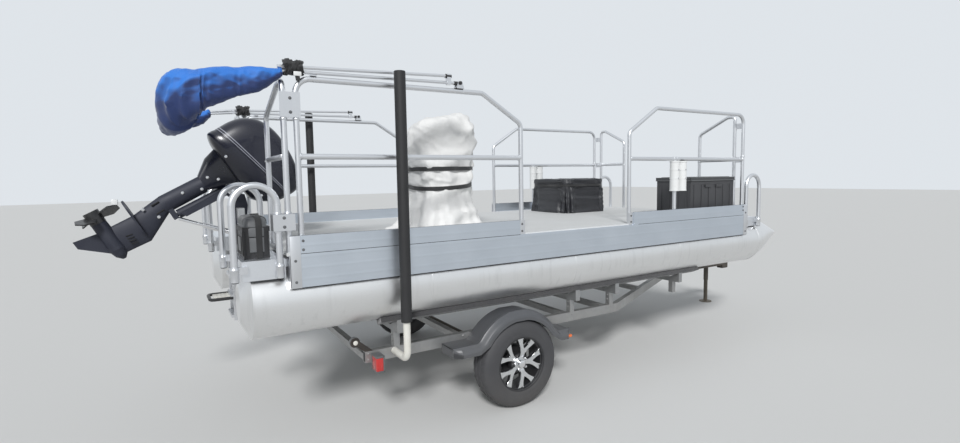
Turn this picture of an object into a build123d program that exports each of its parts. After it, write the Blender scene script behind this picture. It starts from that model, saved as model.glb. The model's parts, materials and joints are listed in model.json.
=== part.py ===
from build123d import *
import os
from math import acos, asin, cos, degrees, hypot, radians, sin, sqrt, tan

os.makedirs("parts", exist_ok=True)

# Frame: x runs to the bow, y to port, z up, all in mm, with the floor at z = 0.
# Stations along the boat are measured from the wheel axle, forward positive.
axle_x = -845.35
seat_gap = 0.3
seam_turn = 45.0
slack = 0.5
pin_slack = 0.1

# Beam of the deck, which the hulls and rails follow
deck_half = 1202.0

# Pontoons
pontoon_y = deck_half - 231.0
pontoon_z = 1116.0
pontoon_r = 246.0
pontoon_aft = -2016.0
pontoon_fore = 3500.0
cap_depth = 60.0
cap_r = 120.0
bead_height = 3.0
bead_width = 12.0
riser_spread = 110.0
riser_w = 30.0
riser_top = 1372.0
riser_aft = -1700.0
riser_fore = 3120.0
# Nose sections: station, radius, height of the centre
nose_sections = (
    (3500.0, 246.0, 1116.0),
    (3690.0, 212.0, 1146.0),
    (3880.0, 145.0, 1158.0),
    (4070.0, 72.0, 1160.0),
    (4190.0, 26.0, 1162.0),
)

# Deck, skirts and toe boards
deck_aft = -1797.0
deck_fore = 3213.0
deck_top = 1454.0
deck_t = 22.0
beam_w = 38.0
beam_wall = 4.0
beam_count = 13
beam_first = -1745.0
beam_last = 3180.0
skirt_aft = -1777.0
skirt_t = 18.0
skirt_wall = 4.0
skirt_low = 1222.0
skirt_top = 1444.0
closure_t = 6.0
toe_top = 1562.0
gate_aft = 39.0
gate_fore = 1378.0

# Rails
rail_r = 19.0
rail_y = deck_half - rail_r - seat_gap
rail_top = 2571.0
rail_fore_top = rail_top - 5.0
rail_mid = rail_top - 498.0
post_c = -1697.0
post_1 = 76.0
post_2 = 1344.0
post_mid = 2002.0
post_3 = 3164.0
slope_aft_x = -290.0
slope_aft_z = rail_top - 222.0
slope_fore_x = 1725.0
slope_fore_z = rail_top - 248.0
bend_wide = 100.0
bend_small = 60.0
stern_rail_x = -1776.0
stern_rail_top = rail_top - 16.0
stern_rail_knee = (rail_y - 148.0, rail_top - 22.0)
stern_rail_low = (rail_y - 617.0, rail_top - 185.0)
bow_rail_x = 3190.0
bow_rail_out = rail_y - 118.0
bow_rail_top = rail_top - 11.0
bow_rail_knee = (bow_rail_out - 89.0, bow_rail_top)
bow_rail_low = (bow_rail_out - 453.0, rail_top - 185.0)
bow_bend = 40.0
plate_t = 6.0
plate_w = 57.0
stern_plate_low = rail_top - 251.0
stern_plate_top = rail_top - 92.0
hoop_clamp_low = 1601.0
hoop_clamp_h = 106.0
bow_clamp_h = 60.0
sleeve_r = 46.0
sleeve_wall = 8.0
sleeve_h = 304.0
sleeve_top = rail_mid - 21.0
sleeve_low = sleeve_top - sleeve_h
sleeve_pitch = 112.0

# Platforms and grab hoops
platform_aft = -2065.0
platform_fore = -1806.0
platform_out = deck_half - 19.0
platform_in = platform_out - 638.0
platform_top = 1419.0
platform_low = 1292.0
platform_t = 6.0
bow_platform_aft = 3232.0
bow_platform_fore = 3500.0
bow_platform_out = deck_half - 42.0
bow_platform_in = bow_platform_out - 400.0
bow_platform_top = 1405.0
bow_platform_low = 1300.0
hoop_r = 21.5
hoop_top = 1892.0
hoop_low = 1302.0
hoop_legs = (-2109.0, -1843.0)
bow_hoop_legs = (3253.0, 3506.0)
collar_z = 1368.0
collar_h = 46.0

# Stern pod and transom
pod_half = 250.0
pod_low = 1300.0
transom_aft = -1960.0
transom_t = 45.0
transom_top = 1710.0

# Outboard, drawn upright about its tilt tube: x forward, z up
tilt_x = -1925.0
tilt_z = 1790.0
tilt_up = 62.0
steer_x = -100.0
tube_r = 22.0
clamp_in = 82.0
clamp_t = 24.0
swivel_r = 36.0
swivel_top = -52.0
swivel_low = -440.0
shaft_r = 16.0
cowl_w = 344.0
cowl_aft = (-547.0, 120.0)
cowl_fore = (180.0, 327.0)
# Cowl sections: aft point, fore point, width, corner radius
crown_sections = (
    (cowl_aft, cowl_fore, cowl_w, 120.0),
    ((-557.0, 245.0), (176.0, 400.0), cowl_w - 6, 122.0),
    ((-536.0, 360.0), (148.0, 455.0), cowl_w - 36, 118.0),
    ((-470.0, 452.0), (66.0, 503.0), cowl_w - 106, 100.0),
    ((-355.0, 512.0), (-60.0, 524.0), cowl_w - 234, 50.0),
)
pan_sections = (
    (cowl_aft, cowl_fore, cowl_w, 120.0),
    ((-548.0, 88.0), (172.0, 236.0), cowl_w - 6, 118.0),
    ((-530.0, 56.0), (112.0, 130.0), cowl_w - 36, 110.0),
    ((-440.0, 36.0), (24.0, 62.0), cowl_w - 124, 90.0),
)
apron_fore = -165.0
apron_corner = 40.0
pan_low = 58.0
eye_top = 28.0
shaft_top = 54.0
leg_top = -170.0
plate_level = -696.0
torpedo_z = -907.0
torpedo_r = 56.0
torpedo_nose = 4.0
torpedo_aft = -300.0
skeg_low = -1108.0
# Apron sections below the pan: height, aft edge, width
apron_sections = (
    (pan_low + 4, -452.0, 150.0),
    (-50.0, -388.0, 146.0),
    (leg_top, -292.0, 132.0),
)
skeg_side = (
    (-60.0, torpedo_z - 40),
    (-205.0, skeg_low),
    (-262.0, skeg_low),
    (-240.0, torpedo_z - 40),
)
prop_r = 168.0
prop_hub = 52.0
prop_len = 96.0
blade_count = 3
blade_t = 9.0
prop_pitch = 28.0

# Boarding ladder at the stern
ladder_x = -2040.0
ladder_z = 1320.0
ladder_out = 480.0
ladder_in = 250.0
ladder_drop = 430.0
ladder_r = 12.5
step_count = 3

# Things on the deck
box_aft = 2380.0
box_fore = 3140.0
box_out = 1095.0
box_in = 650.0
box_top = 1840.0
box_wall = 8.0
lid_top = 1880.0
box_ribs = 6
end_ribs = 4
rib_w = 24.0
rib_t = 5.0
grip_w = 110.0
grip_t = 18.0
grip_spread = 95.0
bench_aft = 1800.0
bench_fore = 2450.0
bench_in = 250.0
bench_out = 950.0
bench_top = 1875.0
console_x = -330.0
console_y = -520.0
# Helm cover sections: height, length, width, shift forward
console_sections = (
    (deck_top, 700.0, 680.0, 0.0),
    (1780.0, 540.0, 560.0, 10.0),
    (2240.0, 610.0, 600.0, 0.0),
    (2420.0, 470.0, 500.0, 0.0),
    (2489.0, 300.0, 360.0, 60.0),
)
battery_aft = -2035.0
battery_fore = -1880.0
battery_out = platform_out - 103.0
battery_in = battery_out - 320.0
battery_top = 1685.0
battery_rim = battery_top - 60.0
battery_foot = platform_top + 20.0
rib_count = 5

# Stowed canopy
pivot_x = -494.0
pivot_z = rail_top + 59.0
pivot_pin_r = 5.0
rest_aft = -1600.0
rest_len = 40.0
bow_r = 11.5
boot_start = -1800.0
# Boot arm sections: station, height of the centre, half width, half height
boot_sections = (
    (boot_start, pivot_z - 24.0, 46.0, 48.0),
    (-2068.0, pivot_z - 123.0, 66.0, 92.0),
    (-2290.0, pivot_z - 210.0, 100.0, 150.0),
)
# Boot roll sections: y, station, height of the centre, half length, half height
boot_roll_half = rail_y + 60.0
boot_rolls = (
    (boot_roll_half, -2345.0, pivot_z - 238.0, 108.0, 176.0),
    (740.0, -2345.0, pivot_z - 238.0, 108.0, 176.0),
    (500.0, -2355.0, pivot_z - 185.0, 98.0, 116.0),
    (-500.0, -2355.0, pivot_z - 185.0, 98.0, 116.0),
    (-740.0, -2345.0, pivot_z - 238.0, 108.0, 176.0),
    (-boot_roll_half, -2345.0, pivot_z - 238.0, 108.0, 176.0),
)

# Trailer
tyre_r = 374.0
tyre_w = 225.0
wheel_face = 1290.0
rim_r = 216.0
rim_lip = 232.0
rim_t = 9.0
spoke_count = 5
spoke_t = 30.0
spoke_fork = (124.0, 0.0)
nut_ring = 58.0
nut_r = 11.0
nut_h = 12.0
cap_w = 34.0
# Half of a split spoke: distance out from the wheel's middle, distance from the spoke's own middle line
spoke_half = (
    (50.0, 16.0),
    (96.0, 18.0),
    (128.0, 31.0),
    (166.0, 58.0),
    (197.0, 72.0),
    (204.0, 50.0),
    (168.0, 30.0),
    (136.0, 8.0),
)
hub_r = 62.0
frame_out = 1040.0
frame_w = 50.0
frame_top = 650.0
frame_h = 85.0
frame_aft = -1250.0
frame_bend = 1345.0
tongue_root = 3300.0
tongue_half = 45.0
tongue_tip = 4560.0
coupler_tip = 4717.0
coupler_z = 529.0
cross_tube = 50.0
cross_stations = (-1225.0, -420.0, 753.0, 1260.0, 2200.0)
spring_half = 330.0
spring_w = 45.0
axle_r = 30.0
fender_in = 1042.0
fender_out = 1290.0
fender_t = 4.0
fender_top = 815.0
fender_lip = 70.0
fender_bead = 5.0
fender_slope = 16.0
step_corner = 58.0
step_aft = -620.0
step_fore = 552.0
step_aft_z = 600.0
step_fore_z = 570.0
bunk_w = 90.0
bunk_t = 38.0
bunk_spread = 100.0
bunk_aft = -1150.0
bunk_fore = 2500.0
bunk_stations = (-1000.0, 753.0, 1260.0, 2200.0)
saddle_half = 150.0
saddle_low = 770.0
guide_x = -1020.0
guide_y = deck_half + 88.0
guide_r = 40.0
guide_pipe_r = 30.0
guide_low = 900.0
guide_top = 2651.0
light_aft = -1205.0
light_fore = -1140.0
light_low = 512.0
light_top = 634.0
light_out = 1150.0
lamp_round = 10.0
roller_x = -1320.0
roller_z = 730.0
roller_r = 36.0
jack_x = 4450.0
jack_y = 150.0
jack_r = 32.0
jack_leg_r = 27.0
jack_top = 980.0
jack_low = 330.0
winch_x = 3420.0
winch_top = 1330.0
stop_r = 45.0
drum_half = 60.0
drum_r = 52.0
crank_len = 170.0


def at(point):
    """Point in the part's frame from station, y and height."""
    return (axle_x + point[0], point[1], point[2])


def side_plane(y):
    """Plane across the boat at y: local x is the station, local y the height."""
    return Plane(origin=at((0, y, 0)), x_dir=(1, 0, 0), z_dir=(0, -1, 0))


def cross_plane(x):
    """Plane square to the keel at a station: local x runs to port, local y is the height."""
    return Plane(origin=at((x, 0, 0)), x_dir=(0, 1, 0), z_dir=(1, 0, 0))


def level_plane(z):
    """Level plane at a height: local x is the station, local y runs to port."""
    return Plane(origin=at((0, 0, z)), x_dir=(1, 0, 0), z_dir=(0, 0, 1))


def tilted(x, z):
    """Station and height of a point of the upright outboard once it is tilted up."""
    c, s = cos(radians(tilt_up)), sin(radians(tilt_up))
    return tilt_x + x * c + z * s, tilt_z - x * s + z * c


def motor_side(y):
    """Side plane of the tilted outboard: local x is forward, local y is up the leg."""
    c, s = cos(radians(tilt_up)), sin(radians(tilt_up))
    return Plane(origin=at((tilt_x, y, tilt_z)), x_dir=(c, 0, -s), z_dir=(0, -1, 0))


def motor_level(z):
    """Plane square to the tilted outboard's leg: local x is forward, local y runs to port."""
    c, s = cos(radians(tilt_up)), sin(radians(tilt_up))
    x, height = tilted(0, z)
    return Plane(origin=at((x, 0, height)), x_dir=(c, 0, -s), z_dir=(s, 0, c))


def motor_cross(x):
    """Plane square to the tilted outboard's forward direction: local y is up the leg."""
    c, s = cos(radians(tilt_up)), sin(radians(tilt_up))
    station, height = tilted(x, 0)
    return Plane(origin=at((station, 0, height)), x_dir=(0, 1, 0), z_dir=(c, 0, -s))


def cowl_plane(aft, fore):
    """Plane across the tilted cowl from an aft to a fore point of its upright side view."""
    start, end = tilted(*aft), tilted(*fore)
    ahead = Vector(end[0] - start[0], 0, end[1] - start[1]).normalized()
    middle = ((start[0] + end[0]) / 2, 0, (start[1] + end[1]) / 2)
    return Plane(origin=at(middle), x_dir=ahead, z_dir=ahead.cross(Vector(0, 1, 0)))


def bar(points, radius, *bends):
    """Round bar through the points, with one bend radius for each corner."""
    with BuildPart() as made:
        with BuildLine() as route:
            if bends:
                FilletPolyline(*[at(p) for p in points], radius=list(bends))
            else:
                Line(*[at(p) for p in points])
        with BuildSketch(Plane(origin=route.line @ 0, z_dir=route.line % 0)):
            with Locations(Location((0, 0, 0), (0, 0, seam_turn))):
                Circle(radius)
        sweep()
    return made.part


def block(low, high):
    """Rectangular block between two corners given as station, y and height."""
    with BuildPart() as made:
        with BuildSketch(level_plane(low[2])):
            with Locations(((low[0] + high[0]) / 2, (low[1] + high[1]) / 2)):
                Rectangle(abs(high[0] - low[0]), abs(high[1] - low[1]))
        extrude(amount=high[2] - low[2])
    return made.part


def side_panel(outline, y_from, y_to):
    """Panel with an outline of stations and heights, between two y values."""
    with BuildPart() as made:
        with BuildSketch(side_plane(max(y_from, y_to))):
            with BuildLine():
                Polyline(*outline, close=True)
            make_face()
        extrude(amount=abs(y_to - y_from))
    return made.part


def cross_bar(outline, x_from, x_to):
    """Bar with an outline of y values and heights, between two stations."""
    with BuildPart() as made:
        with BuildSketch(cross_plane(x_from)):
            with BuildLine():
                Polyline(*outline, close=True)
            make_face()
        extrude(amount=x_to - x_from)
    return made.part


def rod(start, end, radius):
    """Straight round rod between two points."""
    return bar((start, end), radius)


# Pontoon: a log with a shallow stern cap, a nose that rises to its tip, weld beads and risers
with BuildPart() as pontoon_starboard:
    with BuildSketch(side_plane(-pontoon_y)):
        with BuildLine():
            Polyline(
                (pontoon_aft - cap_depth, pontoon_z),
                (pontoon_aft - cap_depth, pontoon_z + cap_r),
                (pontoon_aft, pontoon_z + pontoon_r),
                (pontoon_fore, pontoon_z + pontoon_r),
                (pontoon_fore, pontoon_z),
                close=True,
            )
        make_face()
    revolve(axis=Axis(at((0, -pontoon_y, pontoon_z)), (1, 0, 0)))
    for station, radius, height in nose_sections:
        with BuildSketch(cross_plane(station)):
            with Locations((-pontoon_y, height)):
                Circle(radius)
    loft()
    for station in (pontoon_aft, pontoon_fore - bead_width):
        with BuildSketch(cross_plane(station)):
            with Locations((-pontoon_y, pontoon_z)):
                Circle(pontoon_r + bead_height)
        extrude(amount=bead_width)
    for side in (-1, 1):
        y = -pontoon_y + side * riser_spread
        low = pontoon_z + sqrt(pontoon_r**2 - (riser_spread + riser_w / 2) ** 2) - riser_w / 2
        add(block((riser_aft, y - riser_w / 2, low), (riser_fore, y + riser_w / 2, riser_top)))
pontoon_starboard.part.label = "pontoon_starboard"
export_step(pontoon_starboard.part, "parts/pontoon_starboard.step")

with BuildPart() as pontoon_port:
    mirror(pontoon_starboard.part, about=Plane.XZ)
pontoon_port.part.label = "pontoon_port"
export_step(pontoon_port.part, "parts/pontoon_port.step")

# Cross beams: channels on the risers, open to the bow
beam_low = riser_top
beam_top = deck_top - deck_t
with BuildPart() as deck_beams:
    with BuildSketch(side_plane(deck_half)):
        pitch = (beam_last - beam_first) / (beam_count - 1)
        middle = (beam_low + beam_top) / 2
        with Locations(*[(beam_first + i * pitch, middle) for i in range(beam_count)]):
            Rectangle(beam_w, beam_top - beam_low)
        with Locations(*[(beam_first + i * pitch + beam_wall / 2, middle) for i in range(beam_count)]):
            Rectangle(beam_w - beam_wall, beam_top - beam_low - 2 * beam_wall, mode=Mode.SUBTRACT)
    extrude(amount=2 * deck_half)
deck_beams.part.label = "deck_beams"
export_step(deck_beams.part, "parts/deck_beams.step")

with BuildPart() as deck_panel:
    add(block((deck_aft, -deck_half, beam_top), (deck_fore, deck_half, deck_top)))
deck_panel.part.label = "deck_panel"
export_step(deck_panel.part, "parts/deck_panel.step")

# Cross panels that close the deck's ends between the skirts
with BuildPart() as end_closures:
    add(block((skirt_aft - closure_t, -deck_half, skirt_low), (skirt_aft, deck_half, beam_top)))
    add(block((deck_fore, -deck_half, skirt_low + 60), (deck_fore + closure_t, deck_half, deck_top)))
    for side in (-1, 1):
        with BuildSketch(cross_plane(skirt_aft - closure_t)):
            with Locations((side * pontoon_y, pontoon_z)):
                Circle(pontoon_r + 4)
        extrude(amount=closure_t, mode=Mode.SUBTRACT)
        with BuildSketch(cross_plane(deck_fore)):
            with Locations((side * pontoon_y, pontoon_z)):
                Circle(pontoon_r + 4)
        extrude(amount=closure_t, mode=Mode.SUBTRACT)
end_closures.part.label = "end_closures"
export_step(end_closures.part, "parts/end_closures.step")

# Skirt: a channel with its flanges towards the deck's edge
with BuildPart() as skirt_starboard:
    with BuildSketch(cross_plane(skirt_aft)):
        with Locations((-(deck_half + skirt_t / 2), (skirt_low + skirt_top) / 2)):
            Rectangle(skirt_t, skirt_top - skirt_low)
        with Locations((-(deck_half + (skirt_t - skirt_wall) / 2), (skirt_low + skirt_top) / 2)):
            Rectangle(skirt_t - skirt_wall, skirt_top - skirt_low - 2 * skirt_wall, mode=Mode.SUBTRACT)
    extrude(amount=deck_fore - skirt_aft)
skirt_starboard.part.label = "skirt_starboard"
export_step(skirt_starboard.part, "parts/skirt_starboard.step")

with BuildPart() as skirt_port:
    mirror(skirt_starboard.part, about=Plane.XZ)
skirt_port.part.label = "skirt_port"
export_step(skirt_port.part, "parts/skirt_port.step")

# Toe boards on the skirts, aft and forward of each gate
with BuildPart() as toe_boards:
    for side in (-1, 1):
        for start, end in ((skirt_aft, gate_aft), (gate_fore, deck_fore)):
            add(block((start, side * deck_half, skirt_top), (end, side * (deck_half + skirt_t), toe_top)))
toe_boards.part.label = "toe_boards"
export_step(toe_boards.part, "parts/toe_boards.step")

# Side rails: two framed sections a side, each with a sloping end at the gate
with BuildPart() as side_rail_aft_starboard:
    add(
        bar(
            (
                (post_c, -rail_y, deck_top),
                (post_c, -rail_y, rail_top),
                (slope_aft_x, -rail_y, rail_top),
                (post_1, -rail_y, slope_aft_z),
                (post_1, -rail_y, deck_top),
            ),
            rail_r,
            bend_wide,
            bend_small,
            bend_small,
        )
    )
    add(rod((post_c, -rail_y, rail_mid), (post_1, -rail_y, rail_mid), rail_r))
side_rail_aft_starboard.part.label = "side_rail_aft_starboard"
export_step(side_rail_aft_starboard.part, "parts/side_rail_aft_starboard.step")

with BuildPart() as side_rail_aft_port:
    mirror(side_rail_aft_starboard.part, about=Plane.XZ)
side_rail_aft_port.part.label = "side_rail_aft_port"
export_step(side_rail_aft_port.part, "parts/side_rail_aft_port.step")

with BuildPart() as side_rail_front_starboard:
    add(
        bar(
            (
                (post_2, -rail_y, deck_top),
                (post_2, -rail_y, slope_fore_z),
                (slope_fore_x, -rail_y, rail_fore_top),
                (post_3, -rail_y, rail_fore_top),
                (post_3, -rail_y, deck_top),
            ),
            rail_r,
            bend_small,
            bend_small,
            bend_wide,
        )
    )
    add(rod((post_2, -rail_y, rail_mid), (post_3, -rail_y, rail_mid), rail_r))
    add(rod((post_mid, -rail_y, deck_top), (post_mid, -rail_y, rail_mid), rail_r))
side_rail_front_starboard.part.label = "side_rail_front_starboard"
export_step(side_rail_front_starboard.part, "parts/side_rail_front_starboard.step")

with BuildPart() as side_rail_front_port:
    mirror(side_rail_front_starboard.part, about=Plane.XZ)
side_rail_front_port.part.label = "side_rail_front_port"
export_step(side_rail_front_port.part, "parts/side_rail_front_port.step")

# Cross rails at the stern and the bow, one each side
with BuildPart() as stern_rails:
    for side in (-1, 1):
        add(
            bar(
                (
                    (stern_rail_x, side * rail_y, deck_top),
                    (stern_rail_x, side * rail_y, stern_rail_top),
                    (stern_rail_x, side * stern_rail_knee[0], stern_rail_knee[1]),
                    (stern_rail_x, side * stern_rail_low[0], stern_rail_low[1]),
                    (stern_rail_x, side * stern_rail_low[0], deck_top),
                ),
                rail_r,
                bend_small,
                bend_small,
                bend_small,
            )
        )
        add(
            rod(
                (stern_rail_x, side * rail_y, rail_mid),
                (stern_rail_x, side * stern_rail_low[0], rail_mid),
                rail_r,
            )
        )
stern_rails.part.label = "stern_rails"
export_step(stern_rails.part, "parts/stern_rails.step")

with BuildPart() as bow_rails:
    for side in (-1, 1):
        add(
            bar(
                (
                    (bow_rail_x, side * bow_rail_out, deck_top),
                    (bow_rail_x, side * bow_rail_out, bow_rail_top),
                    (bow_rail_x, side * bow_rail_knee[0], bow_rail_knee[1]),
                    (bow_rail_x, side * bow_rail_low[0], bow_rail_low[1]),
                    (bow_rail_x, side * bow_rail_low[0], deck_top),
                ),
                rail_r,
                bow_bend,
                bow_bend,
                bend_small,
            )
        )
        add(
            rod(
                (bow_rail_x, side * bow_rail_out, rail_mid),
                (bow_rail_x, side * bow_rail_low[0], rail_mid),
                rail_r,
            )
        )
bow_rails.part.label = "bow_rails"
export_step(bow_rails.part, "parts/bow_rails.step")

# Brackets: plates outboard of the posts, and clamps from the corner posts to the hoops
rail_face = rail_y + rail_r + seat_gap
hoop_y = platform_out + hoop_r + seat_gap
with BuildPart() as rail_brackets:
    for side in (-1, 1):
        for start, end, low, high in (
            (stern_rail_x - 24, post_c + 24, stern_plate_low, stern_plate_top),
            (gate_aft, gate_aft + plate_w, skirt_top, toe_top),
            (gate_fore - plate_w, gate_fore, skirt_top, toe_top),
        ):
            add(block((start, side * rail_face, low), (end, side * (rail_face + plate_t), high)))
        add(
            block(
                (hoop_legs[1] - 34, side * (rail_y - 30), hoop_clamp_low),
                (stern_rail_x + 34, side * (hoop_y + 32), hoop_clamp_low + hoop_clamp_h),
            )
        )
        for x, y, r in ((hoop_legs[1], hoop_y, hoop_r), (stern_rail_x, rail_y, rail_r)):
            with BuildSketch(level_plane(hoop_clamp_low)):
                with Locations((x, side * y)):
                    Circle(r + seat_gap)
            extrude(amount=hoop_clamp_h, mode=Mode.SUBTRACT)
        for height in (rail_top - 151, rail_mid - 33):
            add(
                block(
                    (post_3 + rail_r + seat_gap, side * (bow_rail_out + rail_r + seat_gap), height),
                    (bow_rail_x + rail_r, side * (rail_y - rail_r - seat_gap), height + bow_clamp_h),
                )
            )
rail_brackets.part.label = "rail_brackets"
export_step(rail_brackets.part, "parts/rail_brackets.step")

# White rod holder sleeves: one round the middle post and one beside it, held by a strap
with BuildPart() as rod_holders:
    for side in (-1, 1):
        for station in (post_mid, post_mid + sleeve_pitch):
            with BuildSketch(level_plane(sleeve_low)):
                with Locations((station, side * rail_y)):
                    Circle(sleeve_r)
            extrude(amount=sleeve_top - sleeve_low)
        add(
            block(
                (post_mid, side * rail_y - 20, sleeve_top - 90),
                (post_mid + sleeve_pitch, side * rail_y + 20, sleeve_top - 40),
            )
        )
        with BuildSketch(level_plane(sleeve_low)):
            with Locations((post_mid, side * rail_y)):
                Circle(rail_r + seat_gap)
            with Locations((post_mid + sleeve_pitch, side * rail_y)):
                Circle(sleeve_r - sleeve_wall)
        extrude(amount=sleeve_top - sleeve_low, mode=Mode.SUBTRACT)
rod_holders.part.label = "rod_holders"
export_step(rod_holders.part, "parts/rod_holders.step")

# Stern platforms: folded trays with open undersides, on arms from the stern panel
with BuildPart() as stern_platforms:
    for side in (-1, 1):
        add(
            block(
                (platform_aft, side * platform_in, platform_low),
                (platform_fore, side * platform_out, platform_top),
            )
        )
        add(
            block(
                (platform_aft + platform_t, side * (platform_in + platform_t), platform_low),
                (platform_fore - platform_t, side * (platform_out - platform_t), platform_top - platform_t),
            ),
            mode=Mode.SUBTRACT,
        )
        with BuildSketch(cross_plane(platform_aft + platform_t)):
            with Locations((side * pontoon_y, pontoon_z)):
                Circle(pontoon_r + 6)
        extrude(amount=platform_fore - platform_aft, mode=Mode.SUBTRACT)
        for y in (platform_in + 60, platform_out - 60):
            add(
                block(
                    (platform_fore, side * y - 20, platform_top - 60),
                    (skirt_aft - closure_t, side * y + 20, platform_top - 10),
                )
            )
    add(rod((ladder_x, -platform_in, ladder_z), (ladder_x, 40 - ladder_in, ladder_z), ladder_r))
stern_platforms.part.label = "stern_platforms"
export_step(stern_platforms.part, "parts/stern_platforms.step")

with BuildPart() as bow_platforms:
    for side in (-1, 1):
        add(
            block(
                (bow_platform_aft, side * bow_platform_in, bow_platform_low),
                (bow_platform_fore, side * bow_platform_out, bow_platform_top),
            )
        )
        add(
            block(
                (bow_platform_aft + platform_t, side * (bow_platform_in + platform_t), bow_platform_low),
                (
                    bow_platform_fore - platform_t,
                    side * (bow_platform_out - platform_t),
                    bow_platform_top - platform_t,
                ),
            ),
            mode=Mode.SUBTRACT,
        )
        with BuildSketch(cross_plane(bow_platform_aft)):
            with Locations((side * pontoon_y, pontoon_z)):
                Circle(pontoon_r + 6)
        extrude(amount=bow_platform_fore - bow_platform_aft, mode=Mode.SUBTRACT)
        for y in (bow_platform_in + 60, bow_platform_out - 60):
            add(
                block(
                    (deck_fore + closure_t, side * y - 20, bow_platform_top - 26),
                    (bow_platform_aft, side * y + 20, bow_platform_top - 6),
                )
            )
bow_platforms.part.label = "bow_platforms"
export_step(bow_platforms.part, "parts/bow_platforms.step")


def hoop(legs, y, wall, wall_end):
    """Grab hoop over two legs, with collars that bear on a platform's side wall."""
    arch = (legs[1] - legs[0]) / 2 - 1
    with BuildPart() as made:
        add(
            bar(
                (
                    (legs[0], y, hoop_low),
                    (legs[0], y, hoop_top),
                    (legs[1], y, hoop_top),
                    (legs[1], y, hoop_low),
                ),
                hoop_r,
                arch,
                arch,
            )
        )
        for leg, reach in zip(legs, wall_end):
            low_x, high_x = min(leg - 28, reach), max(leg + 28, reach)
            y_out = y + (6 if y > wall else -6)
            add(block((low_x, wall, collar_z - collar_h / 2), (high_x, y_out, collar_z + collar_h / 2)))
    return made.part


with BuildPart() as stern_hoops:
    for side in (-1, 1):
        for y, wall in ((hoop_y, platform_out), (platform_in - hoop_r - seat_gap, platform_in)):
            add(hoop(hoop_legs, side * y, side * wall, (platform_aft + 30, hoop_legs[1] + 28)))
stern_hoops.part.label = "stern_hoops"
export_step(stern_hoops.part, "parts/stern_hoops.step")

with BuildPart() as bow_hoops:
    for side in (-1, 1):
        add(
            hoop(
                bow_hoop_legs,
                side * (bow_platform_out + hoop_r + seat_gap),
                side * bow_platform_out,
                (bow_hoop_legs[0] + 28, bow_platform_fore - 40),
            )
        )
bow_hoops.part.label = "bow_hoops"
export_step(bow_hoops.part, "parts/bow_hoops.step")

# Motor pod: an open tray between two cheeks that carries the transom
transom_fore = transom_aft + transom_t
with BuildPart() as motor_pod:
    cheek = (
        (skirt_aft - closure_t, pod_low),
        (transom_fore, pod_low),
        (transom_fore, transom_top - 60),
        (transom_fore + 60, beam_top - 10),
        (skirt_aft - closure_t, beam_top - 10),
    )
    for y in (-pod_half, pod_half - 8):
        add(side_panel(cheek, y, y + 8))
    add(block((transom_fore, -pod_half, pod_low), (skirt_aft - closure_t, pod_half, pod_low + 8)))
    add(block((transom_aft, -pod_half, pod_low), (transom_fore, pod_half, transom_top)))
motor_pod.part.label = "motor_pod"
export_step(motor_pod.part, "parts/motor_pod.step")

# Clamp bracket: two cheeks hooked over the transom, with the tilt tube between them
with BuildPart() as clamp_bracket:
    hook = (
        (transom_aft - seat_gap, tilt_z - 380),
        (transom_aft - seat_gap, transom_top + seat_gap),
        (transom_fore + seat_gap, transom_top + seat_gap),
        (transom_fore + seat_gap, transom_top - 150),
        (transom_fore + 26, transom_top - 150),
        (transom_fore + 44, transom_top + 20),
        (tilt_x + 34, tilt_z + 26),
        (tilt_x - 20, tilt_z + 34),
        (tilt_x - 60, tilt_z - 6),
        (transom_aft - 40, tilt_z - 360),
    )
    for side in (-1, 1):
        add(side_panel(hook, side * clamp_in, side * (clamp_in + clamp_t)))
    add(rod((tilt_x, -clamp_in - clamp_t - 22, tilt_z), (tilt_x, clamp_in + clamp_t + 22, tilt_z), tube_r))
clamp_bracket.part.label = "clamp_bracket"
export_step(clamp_bracket.part, "parts/clamp_bracket.step")

# Swivel bracket: an eye on the tilt tube and the bored tube that the motor steers in
with BuildPart() as motor_swivel:
    eye = ((-120, eye_top), (30, eye_top), (40, -20), (-60, -70), (-60, -400), (-100, -420), (-120, -60))
    with BuildSketch(motor_side(clamp_in - 6)):
        with BuildLine():
            Polyline(*eye, close=True)
        make_face()
    extrude(amount=2 * (clamp_in - 6))
    with BuildSketch(motor_level(swivel_low)):
        with Locations((steer_x, 0)):
            Circle(swivel_r)
    extrude(amount=swivel_top - swivel_low)
    with BuildSketch(motor_side(clamp_in)):
        with Locations((0, 0)):
            Circle(tube_r + slack)
    extrude(amount=2 * clamp_in, mode=Mode.SUBTRACT)
    with BuildSketch(motor_level(swivel_low - 40)):
        with Locations((steer_x, 0)):
            Circle(shaft_r + slack)
    extrude(amount=600, mode=Mode.SUBTRACT)
    with BuildSketch(motor_level(swivel_top)):
        with Locations((steer_x - 100, 0)):
            Rectangle(300, 300)
    extrude(amount=200, mode=Mode.SUBTRACT)
motor_swivel.part.label = "motor_swivel"
export_step(motor_swivel.part, "parts/motor_swivel.step")

# Outboard cowl: the upper shell above a rising seam, and the lower pan with its apron
with BuildPart() as cowl_top:
    for aft, fore, width, corner in crown_sections:
        with BuildSketch(cowl_plane(aft, fore)):
            RectangleRounded(hypot(fore[0] - aft[0], fore[1] - aft[1]), width, corner)
    loft()
cowl_top.part.label = "cowl_top"
export_step(cowl_top.part, "parts/cowl_top.step")

with BuildPart() as cowl_base:
    for aft, fore, width, corner in pan_sections:
        with BuildSketch(cowl_plane(aft, fore)):
            RectangleRounded(hypot(fore[0] - aft[0], fore[1] - aft[1]), width, corner)
    loft()
    for level, aft, width in apron_sections:
        with BuildSketch(motor_level(level)):
            with Locations(((aft + apron_fore) / 2, 0)):
                RectangleRounded(apron_fore - aft, width, apron_corner)
    loft()
cowl_base.part.label = "cowl_base"
export_step(cowl_base.part, "parts/cowl_base.step")

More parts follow.
